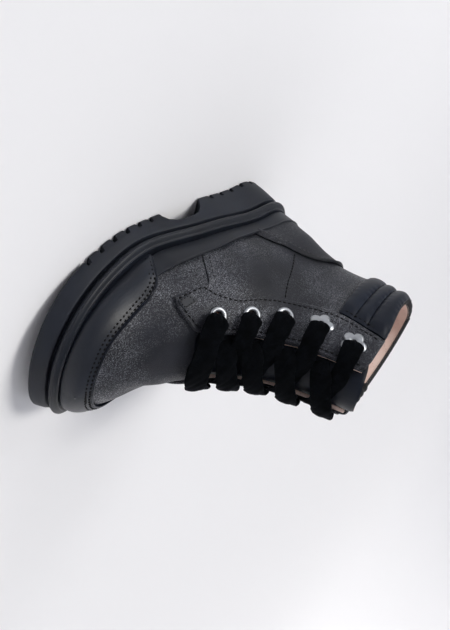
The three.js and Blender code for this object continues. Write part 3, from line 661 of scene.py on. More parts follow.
def side_prism(name, polygon, from_y=-BLOCK_REACH, to_y=BLOCK_REACH):
    """A block across the boot with the given side view, in millimetres."""
    deselect()
    bpy.ops.mesh.primitive_circle_add(vertices=len(polygon), radius=1, fill_type="NGON")
    piece = named(name)
    set_points(piece, [(x * MM, from_y * MM, z * MM) for x, z in polygon])
    across = {"TRANSFORM_OT_translate": {"value": (0, (to_y - from_y) * MM, 0)}}
    edit(piece, (bpy.ops.mesh.extrude_region_move, across))
    edit(piece, OUTWARD)
    return piece


def cut(piece, cutters, crossing=False):
    """Cuts the joined cutters out of a piece. Crossing says that the cutters run into each other."""
    deselect()
    for cutter in cutters:
        cutter.select_set(True)
    bpy.context.view_layer.objects.active = cutters[0]
    bpy.ops.object.join()
    tool = bpy.context.object
    apply_modifier(piece, "BOOLEAN", operation="DIFFERENCE", solver="EXACT", object=tool, use_self=crossing)
    bpy.data.objects.remove(tool, do_unlink=True)


# The arch under the sole, as a side view from below the ground. Groups of channels: start, end and count.
ARCH = [(76, -5), (76, 0), (82, 6.6), (87, 9.4), (92, 10), (100, 9.6), (106, 8.4), (110.5, 6.3), (113, 3),
        (113.6, 0), (113.6, -5)]
CHANNELS = [(0.105, 0.31, 5), (0.575, 0.8, 6)]


def make_outsole():
    def between(share):
        return lambda x: mix(ground_line(x), sole_top(x), share)

    sides = [
        (2.2, ground_line),
        (0.9, lambda x: ground_line(x) + 0.12),
        (0.25, lambda x: ground_line(x) + 0.7),
        (0.0, lambda x: ground_line(x) + 1.7),
        (SIDE_DRAFT * 0.25, between(0.38)),
        (SIDE_DRAFT * 0.6, between(0.66)),
        (SIDE_DRAFT * 0.95, lambda x: sole_top(x) - 1.9),
        (SIDE_DRAFT + 0.25, lambda x: sole_top(x) - 0.8),
        (SIDE_DRAFT + 0.9, lambda x: sole_top(x) - 0.15),
        (SIDE_DRAFT + 1.9, sole_top),
    ]
    piece = sole_body("outsole_rubber", [sole_loop(inset, height_at) for inset, height_at in sides])
    cutters = [side_prism("arch", ARCH)]
    half = TREAD_WIDTH / 2
    for start, end, count in CHANNELS:
        for k in range(count):
            x = mix(start, end, k / (count - 1)) * SOLE_LENGTH
            top = float(ground_line(x)) + TREAD_DEPTH
            channel = [(x - half, -5), (x + half, -5), (x + half - 0.2, top), (x - half + 0.2, top)]
            cutters.append(side_prism("channel", channel))
            for inner in (False, True):
                way = 1 if inner else -1
                edge = float(centre_line(x)) + way * float(half_width(x, inner))
                ends = sorted((edge - way * NOTCH_REACH, edge + way * NOTCH_REACH))
                notch = [(x - NOTCH_WIDTH, -5), (x + NOTCH_WIDTH, -5), (x + half, top + 0.8),
                         (x - half, top + 0.8)]
                cutters.append(side_prism("notch", notch, *ends))
    cut(piece, cutters, crossing=True)
    edit(piece, DOUBLES)
    settle(piece, ["outsole"], ["outsole"], angle=32)


def make_midsole():
    profile = curve([(0, 0), (0.1, 0.02), (0.2, 0.1), (0.3, 0.55), (0.42, 0.93), (0.54, 1), (0.66, 0.93),
                     (0.78, 0.55), (0.88, 0.1), (1, 0)])
    loops = []
    for share in np.linspace(0, 1, 25):
        inset = mix(RIB_MARGIN + GROOVE_DEPTH, RIB_MARGIN, float(profile(share)))
        rise = mix(0.05, WELT_HEIGHT - 0.15, share)
        loops.append(sole_loop(inset, lambda x: sole_top(x) + rise))
    settle(sole_body("midsole_rib", loops), ["rand"], ["midsole"])


def make_rand():
    def place(a, b):
        spread = mix(-1, 1, a)
        return mix(0.0, rand_top(np.abs(spread) * 0.64), b), spread * (0.615 + 0.03 * b)

    def out(a, b, level, turn):
        lip = 0.35 * bump(0.93, 0.06, b)
        return GAP + 1.6 + lip - 0.5 * smooth(0.95, 1, b) - 0.9 * smooth(0.585, 0.61, np.abs(turn))

    piece = face_sheet("rand_strip", 260, 20, place, out)
    thicken(piece, 1.5, edge=0.4)
    settle(piece, ["rand"], ["rand"])


# The quarters' open edge shows the lining from this height in metres up.
LINED_FROM = 0.058


def make_quarters():
    def place(a, b):
        level = b * RIM
        open_edge = eyestay_front(level) + 0.007
        return level, mix(-1, 1, a) * mix(vamp_seam(level), open_edge, smooth(0.46, 0.5, level))

    def out(a, b, level, turn):
        lap = 0.75 * (1 - smooth(0.0, 0.012, nearest(a) - 0.012)) * (1 - smooth(0.3, 0.34, level))
        return creases(level, turn) * smooth(0, 0.1, nearest(a)) + lap - 0.4

    piece = face_sheet("quarters", 260, 120, place, out)
    sheet = len(piece.data.polygons)
    thicken(piece, UPPER_WALL - 0.4, inside=1, rim=1)
    for face in piece.data.polygons[2 * sheet:]:
        if face.center.z < LINED_FROM:
            face.material_index = 0
    cut_eyelets(piece)
    settle(piece, ["glitter", "lining"], ["upper"])


def make_vamp():
    def place(a, b):
        level = b * (THROAT + 0.012)
        start = vamp_seam(level) + 0.001
        turn = mix(start, 2 - start, a)
        return level + 0.05 * smooth(0.3, 1, b) * smooth(0.2, 0.0, np.abs(turn - 1)), turn

    def out(a, b, level, turn):
        return creases(level, turn) * smooth(0, 0.12, nearest(a)) - 0.4

    piece = face_sheet("vamp", 130, 90, place, out)
    thicken(piece, UPPER_WALL - 0.6, inside=1, rim=0)
    settle(piece, ["glitter", "lining"], ["upper"])


def cap_path(inset):
    """Levels and turns of a line a given number of mm inside the toe cap's edge."""
    turn = np.linspace(CAP_START + 0.004, 2 - CAP_START - 0.004, 400)
    level = cap_top(np.minimum(turn, 2 - turn))
    points = face_point(level, turn)
    inward = np.cross(unit(np.gradient(points, axis=0)), face_normal(level, turn))
    inward *= np.sign(inward[200, 0])
    target = points + inward * inset
    step = 0.004
    for _ in range(6):
        here = face_point(level, turn)
        up = (face_point(level + step, turn) - here) / step
        on = (face_point(level, turn + step) - here) / step
        miss = target - here
        uu, vv, uv = (up * up).sum(-1), (on * on).sum(-1), (up * on).sum(-1)
        mu, mv = (miss * up).sum(-1), (miss * on).sum(-1)
        det = uu * vv - uv * uv
        level = level + (mu * vv - mv * uv) / det
        turn = turn + (mv * uu - mu * uv) / det
    return level, turn


# The toe cap's lower edge runs a little under the upper's, so that no gap opens over the rib. The cap steps
# up by CAP_STEP millimetres where it runs over the rand.
CAP_TUCK = -0.012
CAP_STEP = 0.9


def make_toe_cap():
    def place(a, b):
        turn = mix(CAP_START, 2 - CAP_START, a)
        return mix(CAP_TUCK, cap_top(np.minimum(turn, 2 - turn)), b), turn

    def out(a, b, level, turn):
        rise = 230.0 * (cap_top(np.minimum(turn, 2 - turn)) - level)
        ridge = 0.3 * bump(3.3, 0.7, rise) * smooth(0.02, 0.08, nearest(a))
        valley = 0.35 * (bump(2.3, 0.9, rise) + bump(4.4, 0.9, rise)) - ridge
        over_rand = CAP_STEP * (1 - smooth(0.0, 0.1, nearest(a))) * (1 - smooth(0.1, 0.16, level))
        return GAP + 1.1 + 0.5 * bump(0.4, 0.5, b) + over_rand - valley + edge_fall(a, b, 0.008, 0.03, 0.4)

    piece = face_sheet("toe_cap_leather", 220, 70, place, out)
    thicken(piece, 1.3, edge=0.3)
    settle(piece, ["leather"], ["toe_cap"])


def make_counter():
    def place(a, b):
        spread = mix(-1, 1, a)
        level = mix(rand_top(np.abs(spread) * 0.34) - 0.02, COUNTER_TOP, b)
        return level, spread * counter_half(level)

    def out(a, b, level, turn):
        rim_edge = np.minimum(nearest(a) * 1.6, 1 - b)
        return GAP + 1.0 + 0.9 * bump(0.035, 0.035, rim_edge) - 0.8 * (1 - smooth(0, 0.02, rim_edge))

    piece = face_sheet("heel_counter_leather", 150, 90, place, out)
    thicken(piece, 1.3, edge=0.25)
    settle(piece, ["glitter"], ["heel_counter"])


def make_eyestay(inner):
    def place(a, b):
        level = mix(mix(EYESTAY_FOOT, EYESTAY_POINT, a), 0.936 - 0.03 * smooth(0.6, 1.0, a) ** 2, b)
        turn = mix(eyestay_rear(level), eyestay_front(level), a)
        return (level, 2 - turn) if inner else (level, turn)

    def out(a, b, level, turn):
        fold = 0.7 * bump(0.965, 0.03, a)
        return GAP + 1.0 + fold + edge_fall(a, b, 0.02, 0.012, 0.5) + 0.35 * creases(level, turn)

    side = "inner" if inner else "outer"
    piece = face_sheet(f"eyestay_{side}_leather", 48, 150, place, out)
    if inner:
        edit(piece, DOUBLES, (bpy.ops.mesh.flip_normals, {}))
    thicken(piece, 1.25, edge=0.25)
    cut_eyelets(piece)
    settle(piece, ["glitter"], [f"eyestay_{side}"])


def make_collar():
    lowest = float(collar_low(0.6))

    def rolls(b):
        """Which of the three rolls each row lies on, and how far up that roll."""
        roll = np.minimum(2, np.floor(b * 3)).astype(int)
        return roll, b * 3 - roll

    def place(a, b):
        guess = mix(lowest, RIM, b)
        zip_side = zip_turn(guess) - ZIP_HALF - 0.006
        turn = mix(-zip_side, eyestay_rear(guess) - 0.004, a)
        t = np.abs(turn)
        edges = np.stack([collar_low(t), collar_first(t), collar_second(t), np.full_like(t, RIM)])
        roll, share = rolls(b)
        here = np.arange(len(b))
        return mix(edges[roll, here], edges[roll + 1, here], share), turn

    def out(a, b, level, turn):
        roll, share = rolls(b)
        swell = np.clip(np.sin(np.pi * np.clip(share, 0, 1)), 0, 1) ** 0.55
        heights = np.array([2.3, 2.4, 3.1])[roll]
        hem = smooth(0, 0.05, nearest(a))
        pucker = 0.16 * np.sin(turn * 150 + 2 * np.sin(turn * 31)) * (1 - swell)
        base = np.where(b > 0.99, 1.6, 0.75)
        return GAP + base + (heights - base) * swell * mix(0.35, 1, hem) + pucker

    piece = face_sheet("padded_collar", 260, 84, place, out)
    thicken(piece, 1.0, edge=0.25)
    settle(piece, ["soft_leather"], ["collar"])


def make_binding():
    """The knitted edge that wraps the collar's rim from one eyestay to the other."""
    piece, across, share = grid("rim_binding", 420, 12)
    turn = mix(-1, 1, across) * (float(eyestay_front(0.92)) - 0.014)
    level = np.full_like(turn, RIM - 0.006)
    swing = mix(-0.05, 1.0, share) * np.pi
    normal = face_normal(level, turn)
    up = unit(face_point(level, turn) - face_point(level - 0.03, turn))
    ribs = 0.14 * np.sin(across * 210 * math.pi)
    padding = smooth(0.03, 0.06, float(eyestay_rear(0.92)) - np.abs(turn))
    reach = mix(1.5, 2.0, padding) + ribs
    centre = face_point(level, turn) - normal * (1.1 - 0.5 * padding)[:, None]
    height = np.where(turn < 0, 1.9, 1.3) + ribs
    at = centre + normal * (reach * np.cos(swing))[:, None] + up * (height * np.sin(swing))[:, None]
    set_points(piece, at * MM)
    thicken(piece, 0.5)
    settle(piece, ["binding"])


def make_tongue():
    under = -UPPER_WALL - 4 * GAP

    def place(a, b):
        spread = mix(-1, 1, a)
        corner = 0.022 * np.abs(spread) ** 4 + 0.05 * np.clip(-spread, 0, 1) ** 1.5
        level = mix(0.38, 1 - corner, b)
        return level, 1 + spread * tongue_half(level)

    def out(a, b, level, turn):
        clear = 1 - eyestay_front(level) - np.abs(turn - 1)
        lift = 0.9 * smooth(0.01, 0.07, clear) * smooth(THROAT + 0.02, THROAT + 0.08, level)
        pad = 0.6 * np.sin(np.pi * np.clip(a, 0, 1)) * smooth(0.85, 1, level)
        return under + lift + pad - 0.5 * (1 - smooth(0, 0.04, 1 - b))

    piece = face_sheet("tongue_leather", 60, 110, place, out)
    thicken(piece, 2.6, inside=1, rim=1, edge=0.4)
    settle(piece, ["soft_leather", "lining"], ["tongue"])


def face_frame(level, turn, out):
    """A place on the face: its Z axis leaves the boot and its Y axis runs up the boot."""
    level, turn = np.array(level), np.array(turn)
    normal = face_normal(level, turn)
    up = face_point(level + 0.01, turn) - face_point(level - 0.01, turn)
    up = unit(up - normal * (up @ normal))
    side = np.cross(up, normal)
    place = face_offset(level, turn, out) * MM
    return Matrix([[side[k], up[k], normal[k], place[k]] for k in range(3)] + [[0, 0, 0, 1]])


# Eyelets in millimetres: the drilled hole, the height of their seat, and the ring's radius and wire.
# A flower has PETAL_POINTS points round it.
DRILL_RADIUS = 2.4
EYELET_SEAT = 1.45
RING_RADIUS = 3.75
RING_WIRE = 1.2
PETAL_POINTS = 80


def eyelet_places():
    for index, (level, turn) in enumerate(EYELETS):
        for inner in (False, True):
            yield index, inner, level, (2 - turn if inner else turn)


def cut_eyelets(piece):
    cutters = []
    for _, _, level, turn in eyelet_places():
        deselect()
        bpy.ops.mesh.primitive_cylinder_add(vertices=20, radius=DRILL_RADIUS * MM, depth=12 * MM)
        cutter = named("drill")
        cutter.matrix_world = face_frame(level, turn, 0.0)
        bpy.ops.object.transform_apply(location=True, rotation=True, scale=True)
        cutters.append(cutter)
    cut(piece, cutters)


def make_ring():
    """A round eyelet: a torus, a little flattened."""
    deselect()
    bpy.ops.mesh.primitive_torus_add(major_radius=RING_RADIUS * MM, minor_radius=RING_WIRE * MM,
                                     major_segments=40, minor_segments=12)
    piece = named("ring")
    points = points_of(piece)
    points[:, 2] = points[:, 2] * 0.75 + 0.35 * MM
    set_points(piece, points)
    return piece


def make_flower():
    """A domed eyelet with five petals round its hole."""
    deselect()
    bpy.ops.mesh.primitive_circle_add(vertices=PETAL_POINTS, radius=1, fill_type="NOTHING")
    piece = named("flower")
    edit(piece, *[(bpy.ops.mesh.extrude_region_move, {})] * 6)
    count = len(piece.data.vertices) // PETAL_POINTS
    share = np.arange(count * PETAL_POINTS) // PETAL_POINTS / (count - 1)
    angle = np.tile(np.arange(PETAL_POINTS) / PETAL_POINTS * 2 * np.pi, count)
    petal = 5.15 + 2.15 * np.abs(np.cos(2.5 * (angle - np.pi / 2))) ** 0.7
    radius = mix(2.3, petal, share)
    height = 1.25 * np.sin(np.pi * np.clip(mix(0.08, 1.0, share), 0, 1)) ** 0.5
    height = height - 0.25 * bump(0.45, 0.2, share)
    set_points(piece, np.stack([radius * np.cos(angle), radius * np.sin(angle), height], -1) * MM)
    thicken(piece, 0.35)
    edit(piece, DOUBLES, OUTWARD)
    return piece


def make_eyelets():
    for index, inner, level, turn in eyelet_places():
        flower = index >= FIRST_FLOWER
        piece = make_flower() if flower else make_ring()
        piece.data.transform(face_frame(level, turn, EYELET_SEAT))
        node = f"{'flower' if flower else 'ring'}_{'inner' if inner else 'outer'}_{index + 1}"
        piece.name = f"{node}_nickel"
        settle(piece, ["metal"], [node])


def make_ribbon(name, spot, lift, width, replaced, gather):
    """A velvet ribbon along a way over the face, with soft folds where it is gathered."""
    piece, across, along = grid(name, 16, 76)
    level, turn = spot(along)
    step = 0.004
    centre = face_offset(level, turn, lift(along))
    tangent = unit(face_offset(*spot(along + step), lift(along + step)) - centre)
    normal = face_normal(level, turn)
    side = unit(np.cross(normal, tangent))
    normal = unit(np.cross(tangent, side))
    s = across * 2 - 1
    crown = 0.8 * (1 - s**2) + 0.3 * np.sin(along * 19 + 3 * s) + 0.12 * np.sin(along * 61 + 7 * s)
    folds = gather(along) * 0.9 * np.cos(3 * np.pi * s)
    wander = 0.4 * np.sin(along * 15 + (s > 0) * 1.7) + 0.15 * np.sin(along * 47 + (s > 0) * 0.9)
    at = centre + side * ((width(along) / 2 + wander * (1 - gather(along))) * s)[:, None]
    at = at + normal * (crown * (1 - 0.6 * gather(along)) + folds)[:, None]
    set_points(piece, at * MM)
    thicken(piece, 1.2)
    apply_modifier(piece, "SUBSURF", levels=1, render_levels=1)
    settle(piece, ["velvet"], replaced, angle=80)


def make_bar(full):
    """The lowest lace, straight across from eyelet to eyelet."""
    level, turn = EYELETS[0]

    def ends(t, near):
        return 1 - smooth(0, near, nearest(t))

    def spot(t):
        return level + LACE_RISE[0] * 4 * t * (1 - t), mix(turn, 2 - turn, t)

    def lift(t):
        return mix(4.5 - 0.6 * np.sin(np.pi * t), 1.2, ends(t, 0.03) ** 2)

    def width(t):
        return full * 1.12 * mix(1, 0.45, ends(t, 0.045) ** 2)

    make_ribbon("lace_ribbon_1", spot, lift, width, ["lace_bar_1"], lambda t: 0.7 * ends(t, 0.07))


def make_half_lace(full, index, inner):
    """Half of a crossing: from its own eyelet, over or under the other half, to below the far eyestay."""
    below, row = EYELETS[index - 1], EYELETS[index]
    hidden = mix(below[0], row[0], LACE_DIVE[index])
    inside = float(eyestay_front(hidden)) + 0.03

    def spot(t):
        way = mix(row[1], 2 - inside, t)
        return mix(row[0], hidden, t) + LACE_RISE[index] * 4 * t * (1 - t), (2 - way if inner else way)

    def lift(t):
        open_way = mix(4.6, 4.3, t) if inner else mix(4.3, 2.4, smooth(0.12, 0.34, t))
        down = mix(open_way, 0.3, smooth(0.84 if inner else 0.7, 1.0, t))
        return mix(down, 1.2, (1 - smooth(0, 0.035, t)) ** 2)

    def width(t):
        broad = full * (1.0 if inner else mix(0.98, 0.8, smooth(0.25, 0.55, t)))
        broad = broad * (1 + 0.05 * np.sin(9 * t + row[0] * 40))
        return broad * mix(1, 0.45, (1 - smooth(0, 0.05, t)) ** 2) * mix(1, 0.85, smooth(0.86, 1, t))

    def gather(t):
        return 0.7 * (1 - smooth(0, 0.09, t))

    name = f"lace_ribbon_{index + 1}_{'inner' if inner else 'outer'}"
    make_ribbon(name, spot, lift, width, [f"lace_cross_{index + 1}"], gather)


def make_laces():
    full = bpy.context.scene.boot_sizes.lace_width / MM
    make_bar(full)
    for index in range(1, len(EYELETS)):
        for inner in (True, False):
            make_half_lace(full, index, inner)


def stitch_row(level, turn, out, pitch, length, radius):
    """Places for stitches along a line on the face: each a centre and three half axes, in millimetres."""
    points = face_offset(level, turn, out)
    steps = np.linalg.norm(np.diff(points, axis=0), axis=1)
    run = np.concatenate([[0], np.cumsum(steps)])
    count = max(2, int(run[-1] / pitch))
    at = (np.arange(count) + 0.5) * run[-1] / count
    level_at, turn_at = np.interp(at, run, level), np.interp(at, run, turn)
    centre = face_offset(level_at, turn_at, np.interp(at, run, np.broadcast_to(out, run.shape)))
    ahead, behind = (
        np.stack([np.interp(at + way, run, points[:, k]) for k in range(3)], -1) for way in (0.2, -0.2)
    )
    along = unit(ahead - behind)
    normal = face_normal(level_at, turn_at)
    side = unit(np.cross(normal, along))
    normal = np.cross(along, side)
    return [(c, a * length / 2, s * radius, n * radius) for c, a, s, n in zip(centre, along, side, normal)]


def shape_of(model):
    """The points and faces of a small model, which is then removed."""
    shape = points_of(model)
    loops = [tuple(face.vertices) for face in model.data.polygons]
    bpy.data.objects.remove(model, do_unlink=True)
    return shape, loops


def copies(name, shape, loops, places):
    """One piece made of copies of a small shape, one at each place."""
    points, faces = [], []
    for count, (centre, along, side, normal) in enumerate(places):
        copy = centre + shape[:, :1] * along + shape[:, 1:2] * side + shape[:, 2:] * normal
        points.extend((copy * MM).tolist())
        faces.extend(tuple(v + count * len(shape) for v in loop) for loop in loops)
    deselect()
    bpy.ops.mesh.primitive_plane_add(size=1)
    return fill(named(name), points, faces)


def sew(name, places):
    """All the stitches of one seam group, each a copy of one short thread."""
    deselect()
    bpy.ops.mesh.primitive_uv_sphere_add(segments=8, ring_count=5, radius=1)
    shape, loops = shape_of(bpy.context.object)
    shape[:, 0] = np.sign(shape[:, 0]) * np.abs(shape[:, 0]) ** 0.7
    settle(copies(name, shape, loops, places), ["thread"], angle=80)


def make_stitches():
    sizes = bpy.context.scene.boot_sizes
    pitch, length, radius = sizes.stitch_pitch / MM, sizes.stitch_length / MM, sizes.stitch_radius / MM

    def on_both_sides(rows):
        """Stitches along rows of level, turn, height and thread radius, first outside and then inside."""
        return [
            stitch for inner in (False, True) for level, turn, out, thread in rows
            for stitch in stitch_row(level, 2 - turn if inner else turn, out, pitch, length, thread)
        ]

    cap = []
    for inset in (2.2, 4.3):
        level, turn = cap_path(inset)
        near_end = 1 - smooth(0.606, 0.685, np.minimum(turn, 2 - turn))
        raised = CAP_STEP * near_end * (1 - smooth(0.1, 0.16, level))
        cap += stitch_row(level, turn, 1.3 + raised, 2.5, 1.6, radius * 1.35)
    sew("toe_cap_stitches", cap)

    stay = []
    for foot, share in ((EYESTAY_FOOT + 0.012, 0.1), (EYESTAY_POINT + 0.02, 0.89)):
        level = mix(foot, 0.905, np.linspace(0, 1, 200))
        stay.append((level, mix(eyestay_rear(level), eyestay_front(level), share), 1.3, radius))
    across = np.linspace(0.1, 0.89, 60)
    level = mix(EYESTAY_FOOT, EYESTAY_POINT, across) + 0.013
    stay.append((level, mix(eyestay_rear(level), eyestay_front(level), across), 1.3, radius))
    sew("eyestay_stitches", on_both_sides(stay))

    seam = curve([(0.315, 0.338), (0.385, 0.415), (0.515, 0.523), (0.575, 0.569)])
    turn = np.linspace(0.318, 0.568, 150)
    level = seam(turn)
    quarter = [(level, turn, creases(level, turn) - 0.28, radius * 0.9)]
    level = np.linspace(0.14, 0.31, 80)
    quarter.append((level, vamp_seam(level) - 0.014, 0.05, radius))
    level = np.linspace(0.1, 0.5, 150)
    quarter.append((level, counter_half(level) * 0.93, 1.5, radius))
    sew("quarter_stitches", on_both_sides(quarter))

    turn = np.linspace(ZIP_HALF + 0.01 - float(zip_turn(0.8)), float(eyestay_rear(0.8)) - 0.012, 400)
    rows = [(line(np.abs(turn)), turn, 1.0) for line in (collar_first, collar_second)]
    level = np.linspace(0.76, 0.91, 90)
    rows.append((level, eyestay_rear(level) - 0.02, 1.7))
    sew("collar_stitches", [stitch for row in rows for stitch in stitch_row(*row, 2.6, 1.9, radius)])


PATCH_CORNERS = {(0, 0): (0.314, 0.66), (1, 0): (0.3, 0.684), (0, 1): (0.37, 0.694), (1, 1): (0.358, 0.726)}
PATCH_HEM = 0.14


def make_patch():
    """The plain leather square at the foot of the outer eyestay, sewn down along its edge."""
    def place(a, b):
        return [
            sum(at[k] * np.abs(1 - u - a) * np.abs(1 - v - b) for (u, v), at in PATCH_CORNERS.items())
            for k in range(2)
        ]

    def out(a, b, level, turn):
        return GAP + 1.5 + edge_fall(a, b, 0.08, 0.08, 0.15)

    piece = face_sheet("plain_patch", 24, 24, place, out)
    thicken(piece, 0.5, edge=0.12)
    settle(piece, ["leather"])
    edge = np.full(30, PATCH_HEM)
    forth = mix(PATCH_HEM, 1 - PATCH_HEM, np.linspace(0, 1, 30))
    back = mix(1 - PATCH_HEM, PATCH_HEM, np.linspace(0, 1, 30))
    sides = [(forth, edge), (1 - edge, forth), (back, 1 - edge), (edge, back)]
    sew("patch_stitches", [s for side in sides for s in stitch_row(*place(*side), GAP + 1.5, 1.5, 1.0, 0.32)])


def make_zip():
    def place(a, b):
        level = mix(0.16, RIM - 0.005, b)
        return level, 2 - (zip_turn(level) + mix(ZIP_HALF, -ZIP_HALF, a))

    def out(a, b, level, turn):
        return GAP + 0.75 + 0.25 * bump(0.5, 0.5, a)

    tape = face_sheet("zip_tape_woven", 24, 120, place, out)
    thicken(tape, 0.7)
    settle(tape, ["tape"], ["zip_tape"])
    make_zip_fold()
    level = np.linspace(0.17, ZIP_TOP - 0.012, 400)
    places = []
    for way in (-1, 1):
        row = stitch_row(level, 2 - (zip_turn(level) + way * 0.0052), 2.0, 1.5, 1.05, 1.0)
        row = [(centre, along, side * 1.5, normal * 0.75) for centre, along, side, normal in row]
        places += row[1:] if way > 0 else row
    deselect()
    bpy.ops.mesh.primitive_cube_add(size=2)
    apply_modifier(bpy.context.object, "BEVEL", width=0.35, segments=1)
    teeth = copies("zip_teeth_resin", *shape_of(bpy.context.object), places)
    settle(teeth, ["teeth"], ["zip_teeth"], angle=40)
    dress("zip_slider", "metal")


def make_zip_fold():
    """The tape's top, folded in pleats over the rim."""
    fold, across, share = grid("zip_fold_woven", 36, 20)
    turn = 2 - (float(zip_turn(RIM)) + mix(ZIP_HALF, -ZIP_HALF, across) * 1.25)
    edge = np.full_like(turn, RIM - 0.004)
    swing = mix(-0.35, 1.2, share) * np.pi
    normal = face_normal(edge, turn)
    up = unit(face_point(edge, turn) - face_point(edge - 0.03, turn))
    pleat = 0.45 * np.sin(across * 5 * math.pi) + 0.25 * np.sin(across * 17)
    at = face_point(edge, turn) - normal * 1.1 + normal * ((2.9 + pleat) * np.cos(swing))[:, None]
    set_points(fold, (at + up * ((2.0 + pleat) * np.sin(swing))[:, None]) * MM)
    thicken(fold, 0.6)
    settle(fold, ["tape"])


def dress(node, key):
    """Gives a CAD node that stays in sight its material."""
    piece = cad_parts[node]
    piece.data.materials.clear()
    piece.data.materials.append(stock()[key])


def make_camera():
    sizes = bpy.context.scene.boot_sizes
    azimuth, elevation, roll = sizes.view_azimuth, sizes.view_elevation, sizes.view_roll
    right = Vector((math.cos(azimuth), math.sin(azimuth), 0))
    flat = math.cos(elevation)
    back = Vector((math.sin(azimuth) * flat, -math.cos(azimuth) * flat, math.sin(elevation)))
    up = back.cross(right)
    x_axis = right * math.cos(roll) + up * math.sin(roll)
    y_axis = up * math.cos(roll) - right * math.sin(roll)
    spot = Vector((0.105 - ORIGIN_X * MM, 0, 0.06)) + back * 0.45
    data = bpy.data.cameras.new("camera")
    data.lens = 45.23
    data.sensor_width = 36
    data.shift_x = -0.01406
    data.shift_y = 0.02211
    data.clip_start = 0.01
    camera = bpy.data.objects.new("camera", data)
    bpy.context.scene.collection.objects.link(camera)
    rows = [[axis[k] for axis in (x_axis, y_axis, back, spot)] for k in range(3)]
    camera.matrix_world = Matrix(rows + [[0, 0, 0, 1]])
    bpy.context.scene.camera = camera


def add_light(kind, name, place, target, power, colour, **settings):
    deselect()
    bpy.ops.object.light_add(type=kind, location=place)
    light = bpy.context.object
    light.name = name
    light.data.energy = power
    light.data.color = hex_colour(colour)[:3]
    for key, value in settings.items():
        setattr(light.data, key, value)
    light.rotation_euler = (Vector(target) - Vector(place)).to_track_quat("-Z", "Y").to_euler()


# Radii and heights of the floor, which turns up into a wall all round.
FLOOR_RINGS = ((5.0, 0.0), (6.0, 0.1), (6.9, 0.45), (7.6, 1.1), (8.1, 2.0), (8.3, 3.2), (8.4, 9.0))


def make_stage():
    bpy.context.scene.view_settings.view_transform = "Standard"
    deselect()
    bpy.ops.mesh.primitive_circle_add(vertices=96, radius=1, fill_type="NGON")
    floor = named("floor")
    bpy.ops.object.mode_set(mode="EDIT")
    bpy.ops.mesh.select_all(action="SELECT")
    for radius, height in FLOOR_RINGS:
        bpy.ops.mesh.extrude_region_move()
        bpy.ops.object.mode_set(mode="OBJECT")
        points = points_of(floor)
        picked = np.array([v.select for v in floor.data.vertices])
        points[picked] = unit(points[picked] * (1, 1, 0)) * radius
        points[picked, 2] = height
        set_points(floor, points)
        bpy.ops.object.mode_set(mode="EDIT")
    bpy.ops.mesh.delete(type="ONLY_FACE")
    bpy.ops.object.mode_set(mode="OBJECT")
    floor.data.transform(Matrix.Translation((0.06, 0, 0)))
    floor.data.materials.append(paper_floor(bpy.context.scene.boot_colours.floor))
    only(floor)
    bpy.ops.object.shade_smooth()
    world = bpy.data.worlds.new("studio")
    world.use_nodes = True
    background = next(n for n in world.node_tree.nodes if n.type == "BACKGROUND")
    background.inputs["Color"].default_value = hex_colour("#eef1fb")
    background.inputs["Strength"].default_value = 0.44
    bpy.context.scene.world = world
    middle = (0, 0, 0)
    add_light("SUN", "key", (-0.3, -0.6, 0.75), middle, 2.75, "#fffcf6", angle=math.radians(24))
    add_light("SUN", "fill", (0.75, -0.6, 0.4), middle, 0.45, "#eef2ff", angle=math.radians(60))
    toe = (0.06, -0.03, 0.05)
    add_light("AREA", "strip", (-0.35, -0.75, 0.5), toe, 2.2, "#ffffff", shape="DISK", size=0.35)


def length(name, description, default, **limits):
    return bpy.props.FloatProperty(
        name=name, description=description, default=default, unit="LENGTH", **limits)


def angle(name, description, degrees):
    return bpy.props.FloatProperty(
        name=name, description=description, default=math.radians(degrees), unit="ROTATION")


def colour(name, description, default):
    return bpy.props.StringProperty(name=name, description=description, default=default)


class BootSizes(bpy.types.PropertyGroup):
    """Sizes that a maker would change."""

    lace_width: length("Lace width", "Width of the velvet ribbon", 0.0112, min=0.004, max=0.02)
    stitch_pitch: length("Stitch pitch", "Distance from stitch to stitch", 0.003, min=0.001)
    stitch_length: length("Stitch length", "Length of one stitch", 0.0023, min=0.0005)
    stitch_radius: length("Thread radius", "Half of the thread's width", 0.00044, min=0.0001)
    view_azimuth: angle("View azimuth", "Turn of the camera round the boot", 44.73)
    view_elevation: angle("View elevation", "Camera above the floor", 18.36)
    view_roll: angle("View roll", "Roll of the camera", 124.37)


class BootColours(bpy.types.PropertyGroup):
    """Colours as sRGB hex values."""

    glitter_dark: colour("Glitter, dark", "Coated leather in its dark patches", "#111319")
    glitter_light: colour("Glitter, light", "Coated leather in its light patches", "#1d1f27")
    sparkle: colour("Sparkle", "Glitter flakes", "#82848b")
    leather_dark: colour("Leather, dark", "Smooth leather", "#0a0e17")
    leather_light: colour("Leather, light", "Smooth leather", "#141a26")
    rubber_dark: colour("Sole, dark", "Outsole rubber", "#0f131c")
    rubber_light: colour("Sole, light", "Outsole rubber", "#171c27")
    rand_dark: colour("Rand, dark", "Rubber of rand and rib", "#0c1018")
    rand_light: colour("Rand, light", "Rubber of rand and rib", "#131822")
    velvet_dark: colour("Velvet, dark", "Ribbon pile", "#020304")
    velvet_light: colour("Velvet, light", "Ribbon pile", "#07090d")
    lining_dark: colour("Lining, dark", "Lining", "#dcbcae")
    lining_light: colour("Lining, light", "Lining", "#f0dcd2")
    metal: colour("Eyelets", "Plated metal", "#a9acb0")
    floor: colour("Floor", "Studio paper", "#ededef")


class BOOT_OT_camera(bpy.types.Operator):
    """Places the camera"""

    bl_idname = "boot.camera"
    bl_label = "Camera"

    def execute(self, context):
        make_camera()
        return {"FINISHED"}


